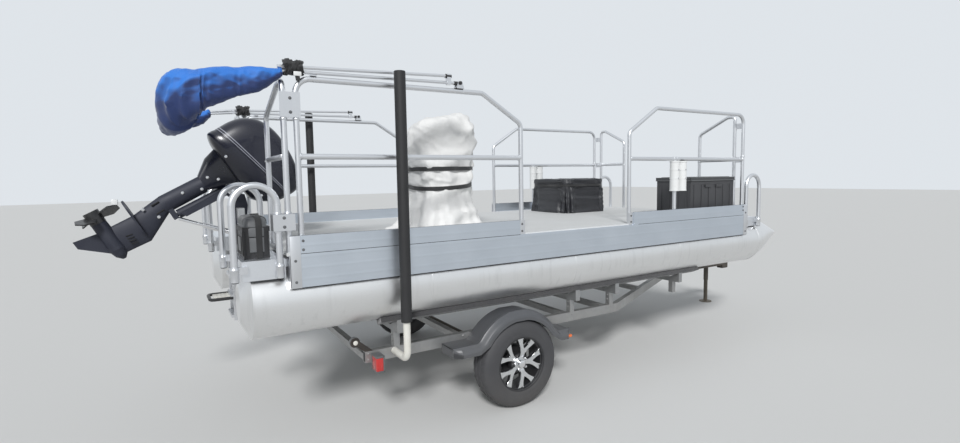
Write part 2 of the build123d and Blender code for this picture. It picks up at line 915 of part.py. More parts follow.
# Leg: steering shaft, exhaust housing, anti-ventilation plate, gearcase and skeg
# Leg sections: height, middle, chord, width
leg_sections = (
    (leg_top, -218.0, 136.0, 128.0),
    (-480.0, -213.0, 140.0, 104.0),
    (plate_level, -130.0, 225.0, 78.0),
    (torpedo_z + 20, -135.0, 215.0, 60.0),
)
with BuildPart() as motor_leg:
    for upper, lower in zip(leg_sections[:-1], leg_sections[1:]):
        for level, middle, chord, width in (upper, lower):
            with BuildSketch(motor_level(level)):
                with Locations((middle, 0)):
                    Ellipse(chord / 2, width / 2)
        loft()
    with BuildSketch(motor_level(plate_level)):
        with Locations((-215, 0)):
            RectangleRounded(310, 180, 80)
    extrude(amount=-12)
    with BuildSketch(motor_side(0)):
        with BuildLine():
            Polyline(
                (torpedo_nose, torpedo_z),
                (torpedo_nose, torpedo_z + 12),
                (-30, torpedo_z + 42),
                (-80, torpedo_z + torpedo_r),
                (torpedo_aft, torpedo_z + torpedo_r - 6),
                (torpedo_aft, torpedo_z),
                close=True,
            )
        make_face()
    nose_x, nose_z = tilted(torpedo_nose, torpedo_z)
    revolve(axis=Axis(at((nose_x, 0, nose_z)), motor_side(0).x_dir))
    with BuildSketch(motor_side(6)):
        with BuildLine():
            Polyline(*skeg_side, close=True)
        make_face()
    extrude(amount=12)
    with BuildSketch(motor_level(shaft_top)):
        with Locations((steer_x, 0)):
            Circle(shaft_r)
    extrude(amount=-(shaft_top - swivel_low + 45))
    with BuildSketch(motor_level(swivel_low - 6)):
        with Locations((steer_x - 50, 0)):
            Rectangle(150, 70)
    extrude(amount=-38)
motor_leg.part.label = "motor_leg"
export_step(motor_leg.part, "parts/motor_leg.step")

# Propeller: a hub and three raked blades, on the shaft line behind the gearcase
with BuildPart() as propeller:
    with BuildSketch(motor_cross(torpedo_aft - slack)):
        with Locations((0, torpedo_z)):
            Circle(prop_hub)
    extrude(amount=-prop_len)
    hub_station, hub_height = tilted(torpedo_aft - prop_len / 2, torpedo_z)
    ahead, up, port = Vector(*motor_side(0).x_dir), Vector(*motor_level(0).z_dir), Vector(0, 1, 0)
    for i in range(blade_count):
        turn = radians(i * 360 / blade_count)
        radial = up * cos(turn) + port * sin(turn)
        across = port * cos(turn) - up * sin(turn)
        chord = across * cos(radians(prop_pitch)) + ahead * sin(radians(prop_pitch))
        root = Vector(*at((hub_station, 0, hub_height)))
        for reach, length in ((20.0, 62.0), (110.0, 138.0), (prop_r, 60.0)):
            with BuildSketch(Plane(origin=root + radial * reach, x_dir=chord, z_dir=radial)):
                Rectangle(length, blade_t)
        loft(ruled=True)
propeller.part.label = "propeller"
export_step(propeller.part, "parts/propeller.step")

# Ladder: two legs and steps that hang from the cross tube beside the starboard platform
with BuildPart() as ladder:
    eye_r = ladder_r + slack + 6
    for y in (-ladder_out, -ladder_in):
        with BuildSketch(side_plane(y + 12)):
            with Locations((ladder_x, ladder_z)):
                Circle(eye_r)
            with Locations((ladder_x, ladder_z - ladder_drop / 2)):
                Rectangle(26, ladder_drop)
            with Locations((ladder_x, ladder_z)):
                Circle(ladder_r + slack, mode=Mode.SUBTRACT)
        extrude(amount=24)
    for i in range(step_count):
        z = ladder_z - ladder_drop + 20 + i * 150
        add(block((ladder_x - 30, -ladder_out, z), (ladder_x + 20, -ladder_in, z + 22)))
ladder.part.label = "ladder"
export_step(ladder.part, "parts/ladder.step")

# Battery box with a domed cap on the starboard platform
with BuildPart() as battery_box:
    add(
        block(
            (battery_aft, -battery_out, platform_top),
            (battery_fore, -battery_in, battery_rim),
        )
    )
    add(
        block(
            (battery_aft - rib_t, -battery_out - rib_t, battery_rim - 30),
            (battery_fore + rib_t, -battery_in + rib_t, battery_rim),
        )
    )
    for i in range(rib_count):
        y = -battery_in - (battery_out - battery_in) * (i + 0.5) / rib_count
        start = battery_aft - rib_t
        add(block((start, y - rib_w / 2, battery_foot), (battery_aft, y + rib_w / 2, battery_rim)))
    for i in range(rib_count - 2):
        station = battery_aft + (battery_fore - battery_aft) * (i + 0.5) / (rib_count - 2)
        for y, out in ((-battery_out, -rib_t), (-battery_in, rib_t)):
            add(block((station - rib_w / 2, y, battery_foot), (station + rib_w / 2, y + out, battery_rim)))
    with BuildSketch(level_plane(battery_rim)):
        with Locations(((battery_aft + battery_fore) / 2, -(battery_out + battery_in) / 2)):
            RectangleRounded(battery_fore - battery_aft - 20, battery_out - battery_in - 60, 40)
    extrude(amount=60, taper=20)
battery_box.part.label = "battery_box"
export_step(battery_box.part, "parts/battery_box.step")

# Helm cover: loose fabric over the console, one closed form
with BuildPart() as console_cover:
    for height, length, width, shift in console_sections:
        with BuildSketch(level_plane(height)):
            with Locations((console_x + shift, console_y)):
                RectangleRounded(length, width, 90)
    loft(ruled=True)
console_cover.part.label = "console_cover"
export_step(console_cover.part, "parts/console_cover.step")

# Bench under its fitted cover on the port side of the foredeck
with BuildPart() as bench_cover:
    add(block((bench_aft, bench_in, deck_top), (bench_fore, bench_out, bench_top)))
    fillet(bench_cover.part.edges().group_by(Axis.Z)[-1], 60)
bench_cover.part.label = "bench_cover"
export_step(bench_cover.part, "parts/bench_cover.step")

# Deck box: an open tub with a hinge pin on its inboard wall, and a lid that caps its rim
lid_hinge_y = -box_in + 20
lid_hinge_z = box_top - 12
hinge_pin_r = 5.0
with BuildPart() as deck_box:
    add(block((box_aft, -box_out, deck_top), (box_fore, -box_in, box_top)))
    add(
        block(
            (box_aft + box_wall, -box_out + box_wall, deck_top + box_wall),
            (box_fore - box_wall, -box_in - box_wall, box_top),
        ),
        mode=Mode.SUBTRACT,
    )
    for start, end in ((box_aft + 60, box_aft + 76), (box_fore - 76, box_fore - 60)):
        add(block((start, -box_in, lid_hinge_z - 10), (end, lid_hinge_y + 10, lid_hinge_z + 10)))
    add(rod((box_aft + 60, lid_hinge_y, lid_hinge_z), (box_fore - 60, lid_hinge_y, lid_hinge_z), hinge_pin_r))
    rib_low, rib_high = deck_top + 20, box_top - 40
    for i in range(box_ribs):
        station = box_aft + (box_fore - box_aft) * (i + 0.5) / box_ribs
        for y, out in ((-box_out, -rib_t), (-box_in, rib_t)):
            add(block((station - rib_w / 2, y, rib_low), (station + rib_w / 2, y + out, rib_high)))
    for i in range(end_ribs):
        y = -box_in - (box_out - box_in) * (i + 0.5) / end_ribs
        for station, out in ((box_aft, -rib_t), (box_fore, rib_t)):
            add(block((station, y - rib_w / 2, rib_low), (station + out, y + rib_w / 2, rib_high)))
    middle = (box_aft + box_fore) / 2
    for shift in (-grip_spread, grip_spread):
        add(
            block(
                (middle + shift - grip_w / 2, -box_out, rib_high - 28),
                (middle + shift + grip_w / 2, -box_out - grip_t, rib_high),
            )
        )
deck_box.part.label = "deck_box"
export_step(deck_box.part, "parts/deck_box.step")

with BuildPart() as deck_box_lid:
    add(block((box_aft - 10, -box_out - 10, box_top + seat_gap), (box_fore + 10, -box_in + 8, lid_top)))
    add(block((box_aft + 80, -box_in + 8, lid_hinge_z - 10), (box_fore - 80, lid_hinge_y + 10, lid_top - 10)))
    with BuildSketch(cross_plane(box_aft)):
        with Locations((lid_hinge_y, lid_hinge_z)):
            Circle(hinge_pin_r + pin_slack)
    extrude(amount=box_fore - box_aft, mode=Mode.SUBTRACT)
deck_box_lid.part.label = "deck_box_lid"
export_step(deck_box_lid.part, "parts/deck_box_lid.step")

# Canopy mounts on the rails: pivot cheeks, and a rest near the stern
rest_top = pivot_z - 20 - bow_r - seat_gap
with BuildPart() as bimini_mounts:
    for side in (-1, 1):
        y = side * rail_y
        add(
            block(
                (pivot_x - 30, y - 22, rail_top + rail_r + seat_gap),
                (pivot_x + 30, y + 22, rail_top + rail_r + 12),
            )
        )
        for cheek_y in (y - 22, y + 16):
            add(
                side_panel(
                    (
                        (pivot_x - 30, rail_top + rail_r + 12),
                        (pivot_x + 30, rail_top + rail_r + 12),
                        (pivot_x + 16, pivot_z + 14),
                        (pivot_x - 16, pivot_z + 14),
                    ),
                    cheek_y,
                    cheek_y + 6,
                )
            )
        add(rod((pivot_x, y - 24, pivot_z), (pivot_x, y + 24, pivot_z), pivot_pin_r))
        add(
            block(
                (rest_aft, y - 22, rail_top + rail_r + seat_gap),
                (rest_aft + rest_len, y + 22, rest_top),
            )
        )
bimini_mounts.part.label = "bimini_mounts"
export_step(bimini_mounts.part, "parts/bimini_mounts.step")

# Canopy bows, folded back along the rails
with BuildPart() as bimini_bows:
    for side in (-1, 1):
        y = side * rail_y
        add(rod((pivot_x + 12, y, pivot_z), (boot_start + 2 * seat_gap, y, pivot_z - 20), bow_r))
        add(rod((pivot_x - 90, y, pivot_z + 48), (boot_start + 2 * seat_gap, y, pivot_z + 6), bow_r))
        add(block((pivot_x - 106, y - 14, pivot_z - 18), (pivot_x - 74, y + 14, pivot_z + 62)))
        with BuildSketch(side_plane(y + 30)):
            with Locations((pivot_x, pivot_z)):
                Circle(pivot_pin_r + slack)
        extrude(amount=60, mode=Mode.SUBTRACT)
bimini_bows.part.label = "bimini_bows"
export_step(bimini_bows.part, "parts/bimini_bows.step")

# Canopy boot: the rolled cloth in its cover, two arms and the roll across the stern
with BuildPart() as bimini_boot:
    for side in (-1, 1):
        for station, height, half_w, half_h in boot_sections:
            with BuildSketch(cross_plane(station)):
                with Locations((side * rail_y, height)):
                    Ellipse(half_w, half_h)
        loft()
    for y, station, height, half_x, half_z in boot_rolls:
        with BuildSketch(side_plane(y)):
            with Locations((station, height)):
                Ellipse(half_x, half_z)
    loft(ruled=True)
bimini_boot.part.label = "bimini_boot"
export_step(bimini_boot.part, "parts/bimini_boot.step")

# Trailer frame: two side rails that run in to the tongue
with BuildPart() as trailer_frame:
    for side in (-1, 1):
        out, inner = side * frame_out, side * (frame_out - frame_w)
        near, far = side * tongue_half, side * (tongue_half + frame_w)
        with BuildSketch(level_plane(frame_top - frame_h)):
            with BuildLine():
                Polyline(
                    (frame_aft, out),
                    (frame_bend, out),
                    (tongue_root, far),
                    (tongue_root + 500, far),
                    (tongue_root + 500, near),
                    (tongue_root - 10, near),
                    (frame_bend - 12, inner),
                    (frame_aft, inner),
                    close=True,
                )
            make_face()
        extrude(amount=frame_h)
trailer_frame.part.label = "trailer_frame"
export_step(trailer_frame.part, "parts/trailer_frame.step")

with BuildPart() as tongue:
    add(block((tongue_root - 100, -tongue_half, frame_top - frame_h), (tongue_tip, tongue_half, frame_top)))
tongue.part.label = "tongue"
export_step(tongue.part, "parts/tongue.step")

# Coupler: a hollow socket on the tongue's end with its latch
ball_r = 25.4
with BuildPart() as coupler:
    add(block((tongue_tip - 160, -tongue_half, frame_top), (tongue_tip, tongue_half, frame_top + 8)))
    add(block((tongue_tip, -tongue_half, coupler_z - 10), (coupler_tip - 45, tongue_half, frame_top + 8)))
    with BuildSketch(level_plane(coupler_z - 10)):
        with Locations((coupler_tip - 45, 0)):
            Circle(tongue_half)
    extrude(amount=70)
    with BuildSketch(level_plane(coupler_z - 10)):
        with Locations((coupler_tip - 48, 0)):
            Circle(ball_r + 1)
    extrude(amount=48, mode=Mode.SUBTRACT)
coupler.part.label = "coupler"
export_step(coupler.part, "parts/coupler.step")

# Cross members between the side rails, cut to the rails' inner faces
with BuildPart() as cross_members:
    rail_slope = (frame_out - frame_w - tongue_half) / (tongue_root - 10 - (frame_bend - 12))
    for station in cross_stations:
        ends = []
        for edge in (station - cross_tube / 2, station + cross_tube / 2):
            ends.append((edge, frame_out - frame_w - max(0.0, edge - (frame_bend - 12)) * rail_slope))
        (aft, aft_y), (fore, fore_y) = ends
        with BuildSketch(level_plane(frame_top - frame_h + 10)):
            with BuildLine():
                Polyline((aft, -aft_y), (fore, -fore_y), (fore, fore_y), (aft, aft_y), close=True)
            make_face()
        extrude(amount=cross_tube)
cross_members.part.label = "cross_members"
export_step(cross_members.part, "parts/cross_members.step")

# Leaf springs below the side rails, with hangers and a seat block on the axle
spring_y = frame_out - frame_w / 2
frame_low = frame_top - frame_h
with BuildPart() as leaf_springs:
    for side in (-1, 1):
        for lift, half in ((0.0, spring_half), (8.0, spring_half * 0.72), (16.0, spring_half * 0.45)):
            drop = 70.0 * (half / spring_half) ** 2
            low = tyre_r + axle_r + 10 + 16 - lift
            with BuildSketch(side_plane(side * spring_y + spring_w / 2)):
                with BuildLine():
                    ThreePointArc((-half, low + drop), (0, low), (half, low + drop))
                    Line((half, low + drop), (half, low + drop + 8))
                    ThreePointArc((half, low + drop + 8), (0, low + 8), (-half, low + drop + 8))
                    Line((-half, low + drop + 8), (-half, low + drop))
                make_face()
            extrude(amount=spring_w)
        for end in (-1, 1):
            add(
                block(
                    (end * spring_half - 18, side * spring_y - 22, tyre_r + axle_r + 90),
                    (end * spring_half + 18, side * spring_y + 22, frame_low),
                )
            )
        add(
            block(
                (-45.0, side * spring_y - 22, tyre_r + axle_r - 8),
                (45.0, side * spring_y + 22, tyre_r + axle_r + 12),
            )
        )
        with BuildSketch(side_plane(side * spring_y + 40)):
            with Locations((0, tyre_r)):
                Circle(axle_r + seat_gap)
        extrude(amount=80, mode=Mode.SUBTRACT)
leaf_springs.part.label = "leaf_springs"
export_step(leaf_springs.part, "parts/leaf_springs.step")

# Axle: a round beam with spindles and hubs, and the wheel bolts' flanges
spindle_out = wheel_face - 50
spindle_r = 18.0
with BuildPart() as axle:
    add(rod((0, -frame_out, tyre_r), (0, frame_out, tyre_r), axle_r))
    for side in (-1, 1):
        add(rod((0, side * (frame_out - 10), tyre_r), (0, side * spindle_out, tyre_r), spindle_r))
axle.part.label = "axle"
export_step(axle.part, "parts/axle.step")

# Fender: a folded arch over the wheel with a flat step at each end
arch_r = fender_top - tyre_r
fender_section = (
    (fender_in, 0.0),
    (fender_out - 68, 0.0),
    (fender_out - 62, fender_bead),
    (fender_out - 50, fender_bead),
    (fender_out - 43, 0.0),
    (fender_out - 12, -fender_slope),
    (fender_out, -fender_slope - 16),
    (fender_out, -fender_lip),
    (fender_out - fender_t, -fender_lip),
    (fender_out - fender_t, -fender_slope - 18),
    (fender_out - 15, -fender_slope - 4),
    (fender_out - 46, -fender_t),
    (fender_in, -fender_t),
)
with BuildPart() as fender_starboard:
    for x, z, way in ((step_aft, step_aft_z, 1), (step_fore, step_fore_z, -1)):
        root = -way * sqrt((arch_r - fender_t) ** 2 - (z - tyre_r) ** 2)
        for inset, top in ((0.0, 0.0), (fender_t, fender_t)):
            with BuildSketch(level_plane(z - fender_lip)):
                with BuildLine():
                    Polyline(
                        (x + way * inset, -fender_in - inset),
                        (x + way * inset, -fender_out + step_corner + inset),
                        (x + way * (step_corner + inset), -fender_out + inset),
                        (root + way * 60, -fender_out + inset),
                        (root + way * 60, -fender_in - inset),
                        close=True,
                    )
                make_face()
            extrude(amount=fender_lip - top, mode=Mode.SUBTRACT if inset else Mode.ADD)
        tab = x + way * 60
        add(block((tab - 20, -frame_out, z - 30), (tab + 20, -(fender_out - 60), z - fender_t)))
    with BuildSketch(side_plane(-fender_in + fender_t)):
        with Locations((0, tyre_r)):
            Circle(arch_r - fender_t)
    extrude(amount=fender_out - fender_in + 2 * fender_t, mode=Mode.SUBTRACT)
    aft_turn = -degrees(acos((step_aft_z - tyre_r) / arch_r))
    fore_turn = degrees(acos((step_fore_z - tyre_r) / arch_r))
    start = Plane(
        origin=at((0, 0, tyre_r)),
        x_dir=(0, 1, 0),
        z_dir=(cos(radians(aft_turn)), 0, -sin(radians(aft_turn))),
    )
    with BuildSketch(start):
        with BuildLine():
            Polyline(*[(-y, arch_r + out) for y, out in fender_section], close=True)
        make_face()
    revolve(axis=Axis(at((0, 0, tyre_r)), (0, 1, 0)), revolution_arc=fore_turn - aft_turn)
fender_starboard.part.label = "fender_starboard"
export_step(fender_starboard.part, "parts/fender_starboard.step")

with BuildPart() as fender_port:
    mirror(fender_starboard.part, about=Plane.XZ)
fender_port.part.label = "fender_port"
export_step(fender_port.part, "parts/fender_port.step")

# Bunk boards: two a side, each tangent to its pontoon
lean = asin(bunk_spread / pontoon_r)
with BuildPart() as bunk_boards:
    for side in (-1, 1):
        for way in (-1, 1):
            radial = pontoon_r + seat_gap + bunk_t / 2
            y = side * pontoon_y + way * radial * sin(lean)
            z = pontoon_z - radial * cos(lean)
            with BuildSketch(cross_plane(bunk_aft)):
                with Locations((y, z)):
                    Rectangle(bunk_w, bunk_t, rotation=way * degrees(lean))
            extrude(amount=bunk_fore - bunk_aft)
bunk_boards.part.label = "bunk_boards"
export_step(bunk_boards.part, "parts/bunk_boards.step")

# Bunk brackets: vee saddles on short posts
with BuildPart() as bunk_brackets:
    under = (pontoon_r + seat_gap + bunk_t) / cos(lean)
    rise = saddle_half * tan(lean)
    for station in bunk_stations:
        for side in (-1, 1):
            y = side * pontoon_y
            valley = pontoon_z - under
            add(
                cross_bar(
                    (
                        (y - saddle_half, saddle_low),
                        (y + saddle_half, saddle_low),
                        (y + saddle_half, valley + rise),
                        (y, valley),
                        (y - saddle_half, valley + rise),
                    ),
                    station - 25,
                    station + 25,
                )
            )
            add(
                block(
                    (station - 25, side * (frame_out - frame_w / 2) - 25, frame_top),
                    (station + 25, side * (frame_out - frame_w / 2) + 25, saddle_low),
                )
            )
bunk_brackets.part.label = "bunk_brackets"
export_step(bunk_brackets.part, "parts/bunk_brackets.step")

# Guide posts: an arm from the frame, an elbow and an upright pipe in a foam sleeve
with BuildPart() as guide_arms:
    for side in (-1, 1):
        add(
            bar(
                (
                    (guide_x, side * frame_out, frame_top - 30),
                    (guide_x, side * guide_y, frame_top - 30),
                    (guide_x, side * guide_y, guide_top - 20),
                ),
                guide_pipe_r - 4,
                70.0,
            )
        )
guide_arms.part.label = "guide_arms"
export_step(guide_arms.part, "parts/guide_arms.step")

with BuildPart() as guide_pads:
    for side in (-1, 1):
        with BuildSketch(level_plane(guide_low)):
            with Locations((guide_x, side * guide_y)):
                Circle(guide_r)
                Circle(guide_pipe_r - 4 + seat_gap, mode=Mode.SUBTRACT)
        extrude(amount=guide_top - guide_low)
guide_pads.part.label = "guide_pads"
export_step(guide_pads.part, "parts/guide_pads.step")

# Tail lights on the outer faces of the frame's ends
with BuildPart() as tail_lights:
    for side in (-1, 1):
        add(
            block(
                (light_aft, side * frame_out, light_low),
                (light_fore, side * light_out, light_top),
            )
        )
    fillet(tail_lights.edges().filter_by(Axis.Z), lamp_round)
tail_lights.part.label = "tail_lights"
export_step(tail_lights.part, "parts/tail_lights.step")

# Stern rollers on brackets at the frame's aft end
with BuildPart() as stern_rollers:
    for side in (-1, 1):
        for y in (frame_out - 50, frame_out - 8):
            add(
                side_panel(
                    (
                        (frame_aft + 60, frame_top),
                        (frame_aft, frame_top),
                        (roller_x - 16, roller_z - 10),
                        (roller_x - 16, roller_z + 16),
                        (roller_x + 16, roller_z + 16),
                    ),
                    side * y,
                    side * (y + 8),
                )
            )
        inner, outer = side * (frame_out - 42), side * (frame_out - 8)
        add(rod((roller_x, inner, roller_z), (roller_x, outer, roller_z), roller_r))
stern_rollers.part.label = "stern_rollers"
export_step(stern_rollers.part, "parts/stern_rollers.step")

# Winch stand: a post on the tongue with a winch and a bow stop at the deck's front
with BuildPart() as winch_stand:
    add(block((winch_x, -35.0, frame_top), (winch_x + 70, 35.0, winch_top)))
    add(block((deck_fore + closure_t + 60, -35.0, winch_top - 70), (winch_x, 35.0, winch_top - 10)))
    stop_x = deck_fore + closure_t + stop_r + 1
    add(rod((stop_x, -70, winch_top - 40), (stop_x, 70, winch_top - 40), stop_r))
    drum_x, drum_z = winch_x + 35, winch_top + 42
    add(rod((drum_x, -drum_half, drum_z), (drum_x, drum_half, drum_z), drum_r))
    add(rod((drum_x, drum_half, drum_z), (drum_x, drum_half + 24, drum_z), 10.0))
    add(block((drum_x - 12, drum_half + 16, drum_z - crank_len), (drum_x + 12, drum_half + 24, drum_z + 12)))
    grip_z = drum_z - crank_len
    add(rod((drum_x, drum_half + 16, grip_z), (drum_x, drum_half + 110, grip_z), 13.0))
winch_stand.part.label = "winch_stand"
export_step(winch_stand.part, "parts/winch_stand.step")

# Jack: a sleeve on the tongue's port side and a leg that slides in it
with BuildPart() as jack_sleeve:
    with BuildSketch(level_plane(jack_low)):
        with Locations((jack_x, jack_y)):
            Circle(jack_r)
    extrude(amount=jack_top - jack_low)
    add(block((jack_x - 30, tongue_half, frame_top - 70), (jack_x + 30, jack_y - 20, frame_top - 10)))
    with BuildSketch(level_plane(jack_low)):
        with Locations((jack_x, jack_y)):
            Circle(jack_leg_r + slack)
    extrude(amount=jack_top - jack_low - 20, mode=Mode.SUBTRACT)
jack_sleeve.part.label = "jack_sleeve"
export_step(jack_sleeve.part, "parts/jack_sleeve.step")

jack_travel = 250.0
with BuildPart() as jack_leg:
    with BuildSketch(level_plane(10)):
        with Locations((jack_x, jack_y)):
            Circle(jack_leg_r)
    extrude(amount=jack_top - 30 - jack_travel - 10)
    with BuildSketch(level_plane(0)):
        with Locations((jack_x, jack_y)):
            Circle(85)
    extrude(amount=12)
jack_leg.part.label = "jack_leg"
export_step(jack_leg.part, "parts/jack_leg.step")


# Tyre: a ring with rounded shoulders
with BuildPart() as tyre_starboard:
    inner = wheel_face - tyre_w
    with BuildSketch(Plane(origin=at((0, 0, tyre_r)), x_dir=(0, 1, 0), z_dir=(-1, 0, 0))):
        with BuildLine():
            bead = rim_r + seat_gap
            Polyline(
                (-wheel_face + 14, bead),
                (-inner - 14, bead),
                (-inner, rim_lip + 34),
                (-inner - 12, tyre_r - 40),
                (-inner - 40, tyre_r - 6),
                (-inner - 70, tyre_r),
                (-wheel_face + 70, tyre_r),
                (-wheel_face + 40, tyre_r - 6),
                (-wheel_face + 12, tyre_r - 40),
                (-wheel_face, rim_lip + 34),
                close=True,
            )
        make_face()
    revolve(axis=Axis(at((0, 0, tyre_r)), (0, 1, 0)))
tyre_starboard.part.label = "tyre_starboard"
export_step(tyre_starboard.part, "parts/tyre_starboard.step")

with BuildPart() as tyre_port:
    mirror(tyre_starboard.part, about=Plane.XZ)
tyre_port.part.label = "tyre_port"
export_step(tyre_port.part, "parts/tyre_port.step")

# Rim: a barrel, a dished face with five split spokes and the bored hub
with BuildPart() as rim_starboard:
    face = wheel_face - 16
    with BuildSketch(side_plane(-inner - 18)):
        with Locations((0, tyre_r)):
            Circle(rim_r)
            Circle(rim_r - rim_t, mode=Mode.SUBTRACT)
    extrude(amount=face - inner - 18)
    with BuildSketch(side_plane(-face + spoke_t + 4)):
        for i in range(spoke_count):
            turn = radians(90 + i * 360 / spoke_count)
            c, s = cos(turn), sin(turn)
            outline = [*spoke_half, spoke_fork, *[(x, -y) for x, y in reversed(spoke_half)]]
            with BuildLine():
                Polyline(*[(x * c - y * s, tyre_r + x * s + y * c) for x, y in outline], close=True)
            make_face()
        with Locations((0, tyre_r)):
            Circle(hub_r + 20)
            Circle(spindle_r + slack, mode=Mode.SUBTRACT)
    extrude(amount=spoke_t)
    with BuildSketch(side_plane(-face + 4)):
        with Locations((0, tyre_r)):
            with PolarLocations(nut_ring, spoke_count, start_angle=90 + 180 / spoke_count):
                RegularPolygon(nut_r, 6)
    extrude(amount=nut_h)
    with BuildSketch(side_plane(-face + 4)):
        with Locations((0, tyre_r)):
            Circle(cap_w)
    extrude(amount=nut_h + 4, taper=14)
    with BuildSketch(side_plane(-face + 90)):
        with Locations((0, tyre_r)):
            Circle(hub_r)
            Circle(spindle_r + slack, mode=Mode.SUBTRACT)
    extrude(amount=70)
rim_starboard.part.label = "rim_starboard"
export_step(rim_starboard.part, "parts/rim_starboard.step")

with BuildPart() as rim_port:
    mirror(rim_starboard.part, about=Plane.XZ)
rim_port.part.label = "rim_port"
export_step(rim_port.part, "parts/rim_port.step")
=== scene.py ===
"""Pontoon boat on its road trailer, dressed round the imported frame.

The finishes come first, then the forms, then one class for each sub-assembly, the camera and the light.
"""

import json
import logging
import math
from dataclasses import dataclass
from enum import Enum
from typing import Callable, Sequence

import bmesh
import bpy
from mathutils import Matrix, Vector, noise
from mathutils.bvhtree import BVHTree


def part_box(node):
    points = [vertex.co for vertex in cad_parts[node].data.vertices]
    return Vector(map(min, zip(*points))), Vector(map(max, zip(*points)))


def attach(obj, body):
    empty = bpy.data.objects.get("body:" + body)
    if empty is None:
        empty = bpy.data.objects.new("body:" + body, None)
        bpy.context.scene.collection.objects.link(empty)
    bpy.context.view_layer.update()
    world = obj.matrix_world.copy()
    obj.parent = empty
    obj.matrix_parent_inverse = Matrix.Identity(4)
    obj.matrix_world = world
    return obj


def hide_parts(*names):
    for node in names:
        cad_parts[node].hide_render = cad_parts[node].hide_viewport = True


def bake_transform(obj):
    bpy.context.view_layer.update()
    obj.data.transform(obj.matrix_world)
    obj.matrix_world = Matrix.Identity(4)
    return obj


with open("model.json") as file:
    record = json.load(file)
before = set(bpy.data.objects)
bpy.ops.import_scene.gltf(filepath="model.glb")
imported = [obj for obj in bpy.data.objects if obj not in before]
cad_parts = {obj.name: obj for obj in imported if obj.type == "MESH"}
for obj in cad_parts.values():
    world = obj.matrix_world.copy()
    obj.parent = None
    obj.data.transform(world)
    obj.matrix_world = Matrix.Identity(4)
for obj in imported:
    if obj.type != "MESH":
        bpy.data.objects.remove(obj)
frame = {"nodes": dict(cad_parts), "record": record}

log = logging.getLogger("pontoon_boat")
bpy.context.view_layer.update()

Color = tuple[float, float, float]
Point = tuple[float, float, float]
Number = float | int
Pair = tuple[float, float]
Rows = Sequence[Sequence[float]]

# Every station is measured from the wheel axle, forward positive.
TYRE_LOW, TYRE_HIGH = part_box("tyre_starboard")
AXLE_X = (TYRE_LOW.x + TYRE_HIGH.x) / 2
SIDES = (("starboard", -1.0), ("port", 1.0))
TURN = 2 * math.pi
FORWARD, TO_PORT, UP = Vector((1, 0, 0)), Vector((0, 1, 0)), Vector((0, 0, 1))


def mm(station: float, y: float, z: float) -> Vector:
    """Point of the row frame from sizes in millimetres.

    Args:
        station: Distance ahead of the wheel axle.
        y: Distance to port of the keel line.
        z: Height over the floor.

    Returns:
        The point in the row frame, in metres.
    """
    return Vector((AXLE_X + station / 1000, y / 1000, z / 1000))


class Signal:
    """Output socket of a shader tree that takes part in Python arithmetic."""

    def __init__(self, tree: "Shader", socket: bpy.types.NodeSocket) -> None:
        """Wraps one socket of a tree."""
        self.tree = tree
        self.socket = socket

    def math(self, operation: str, *values: "Signal | Number") -> "Signal":
        """Adds one Math node and returns its output."""
        return self.tree.node("ShaderNodeMath", {"operation": operation}, dict(enumerate(values)))

    def __add__(self, other: "Signal | Number") -> "Signal":
        """Sum."""
        return self.math("ADD", self, other)

    __radd__ = __add__

    def __sub__(self, other: "Signal | Number") -> "Signal":
        """Difference."""
        return self.math("SUBTRACT", self, other)

    def __rsub__(self, other: "Signal | Number") -> "Signal":
        """Difference with the number in front."""
        return self.math("SUBTRACT", other, self)

    def __mul__(self, other: "Signal | Number") -> "Signal":
        """Product."""
        return self.math("MULTIPLY", self, other)

    __rmul__ = __mul__

    def __truediv__(self, other: "Signal | Number") -> "Signal":
        """Quotient."""
        return self.math("DIVIDE", self, other)

    def __rtruediv__(self, other: "Signal | Number") -> "Signal":
        """Quotient with the number in front."""
        return self.math("DIVIDE", other, self)

    def __pow__(self, power: "Signal | Number") -> "Signal":
        """Power."""
        return self.math("POWER", self, power)

    def __rpow__(self, base: "Signal | Number") -> "Signal":
        """Power of a number."""
        return self.math("POWER", base, self)

    def __or__(self, other: "Signal | Number") -> "Signal":
        """The larger of the two, which joins masks."""
        return self.math("MAXIMUM", self, other)

    __ror__ = __or__

    def clamp(self) -> "Signal":
        """The value held between 0 and 1."""
        return self.tree.node("ShaderNodeClamp", {}, {"Value": self})

    def between(self, low: float, high: float) -> "Signal":
        """0 at low and 1 at high, held at both ends."""
        return ((self - low) / (high - low)).clamp()

    def wave(self, pitch: float) -> "Signal":
        """Sine of the value with that pitch, from 0 to 1."""
        return self.math("SINE", self * (TURN / pitch)) * 0.5 + 0.5


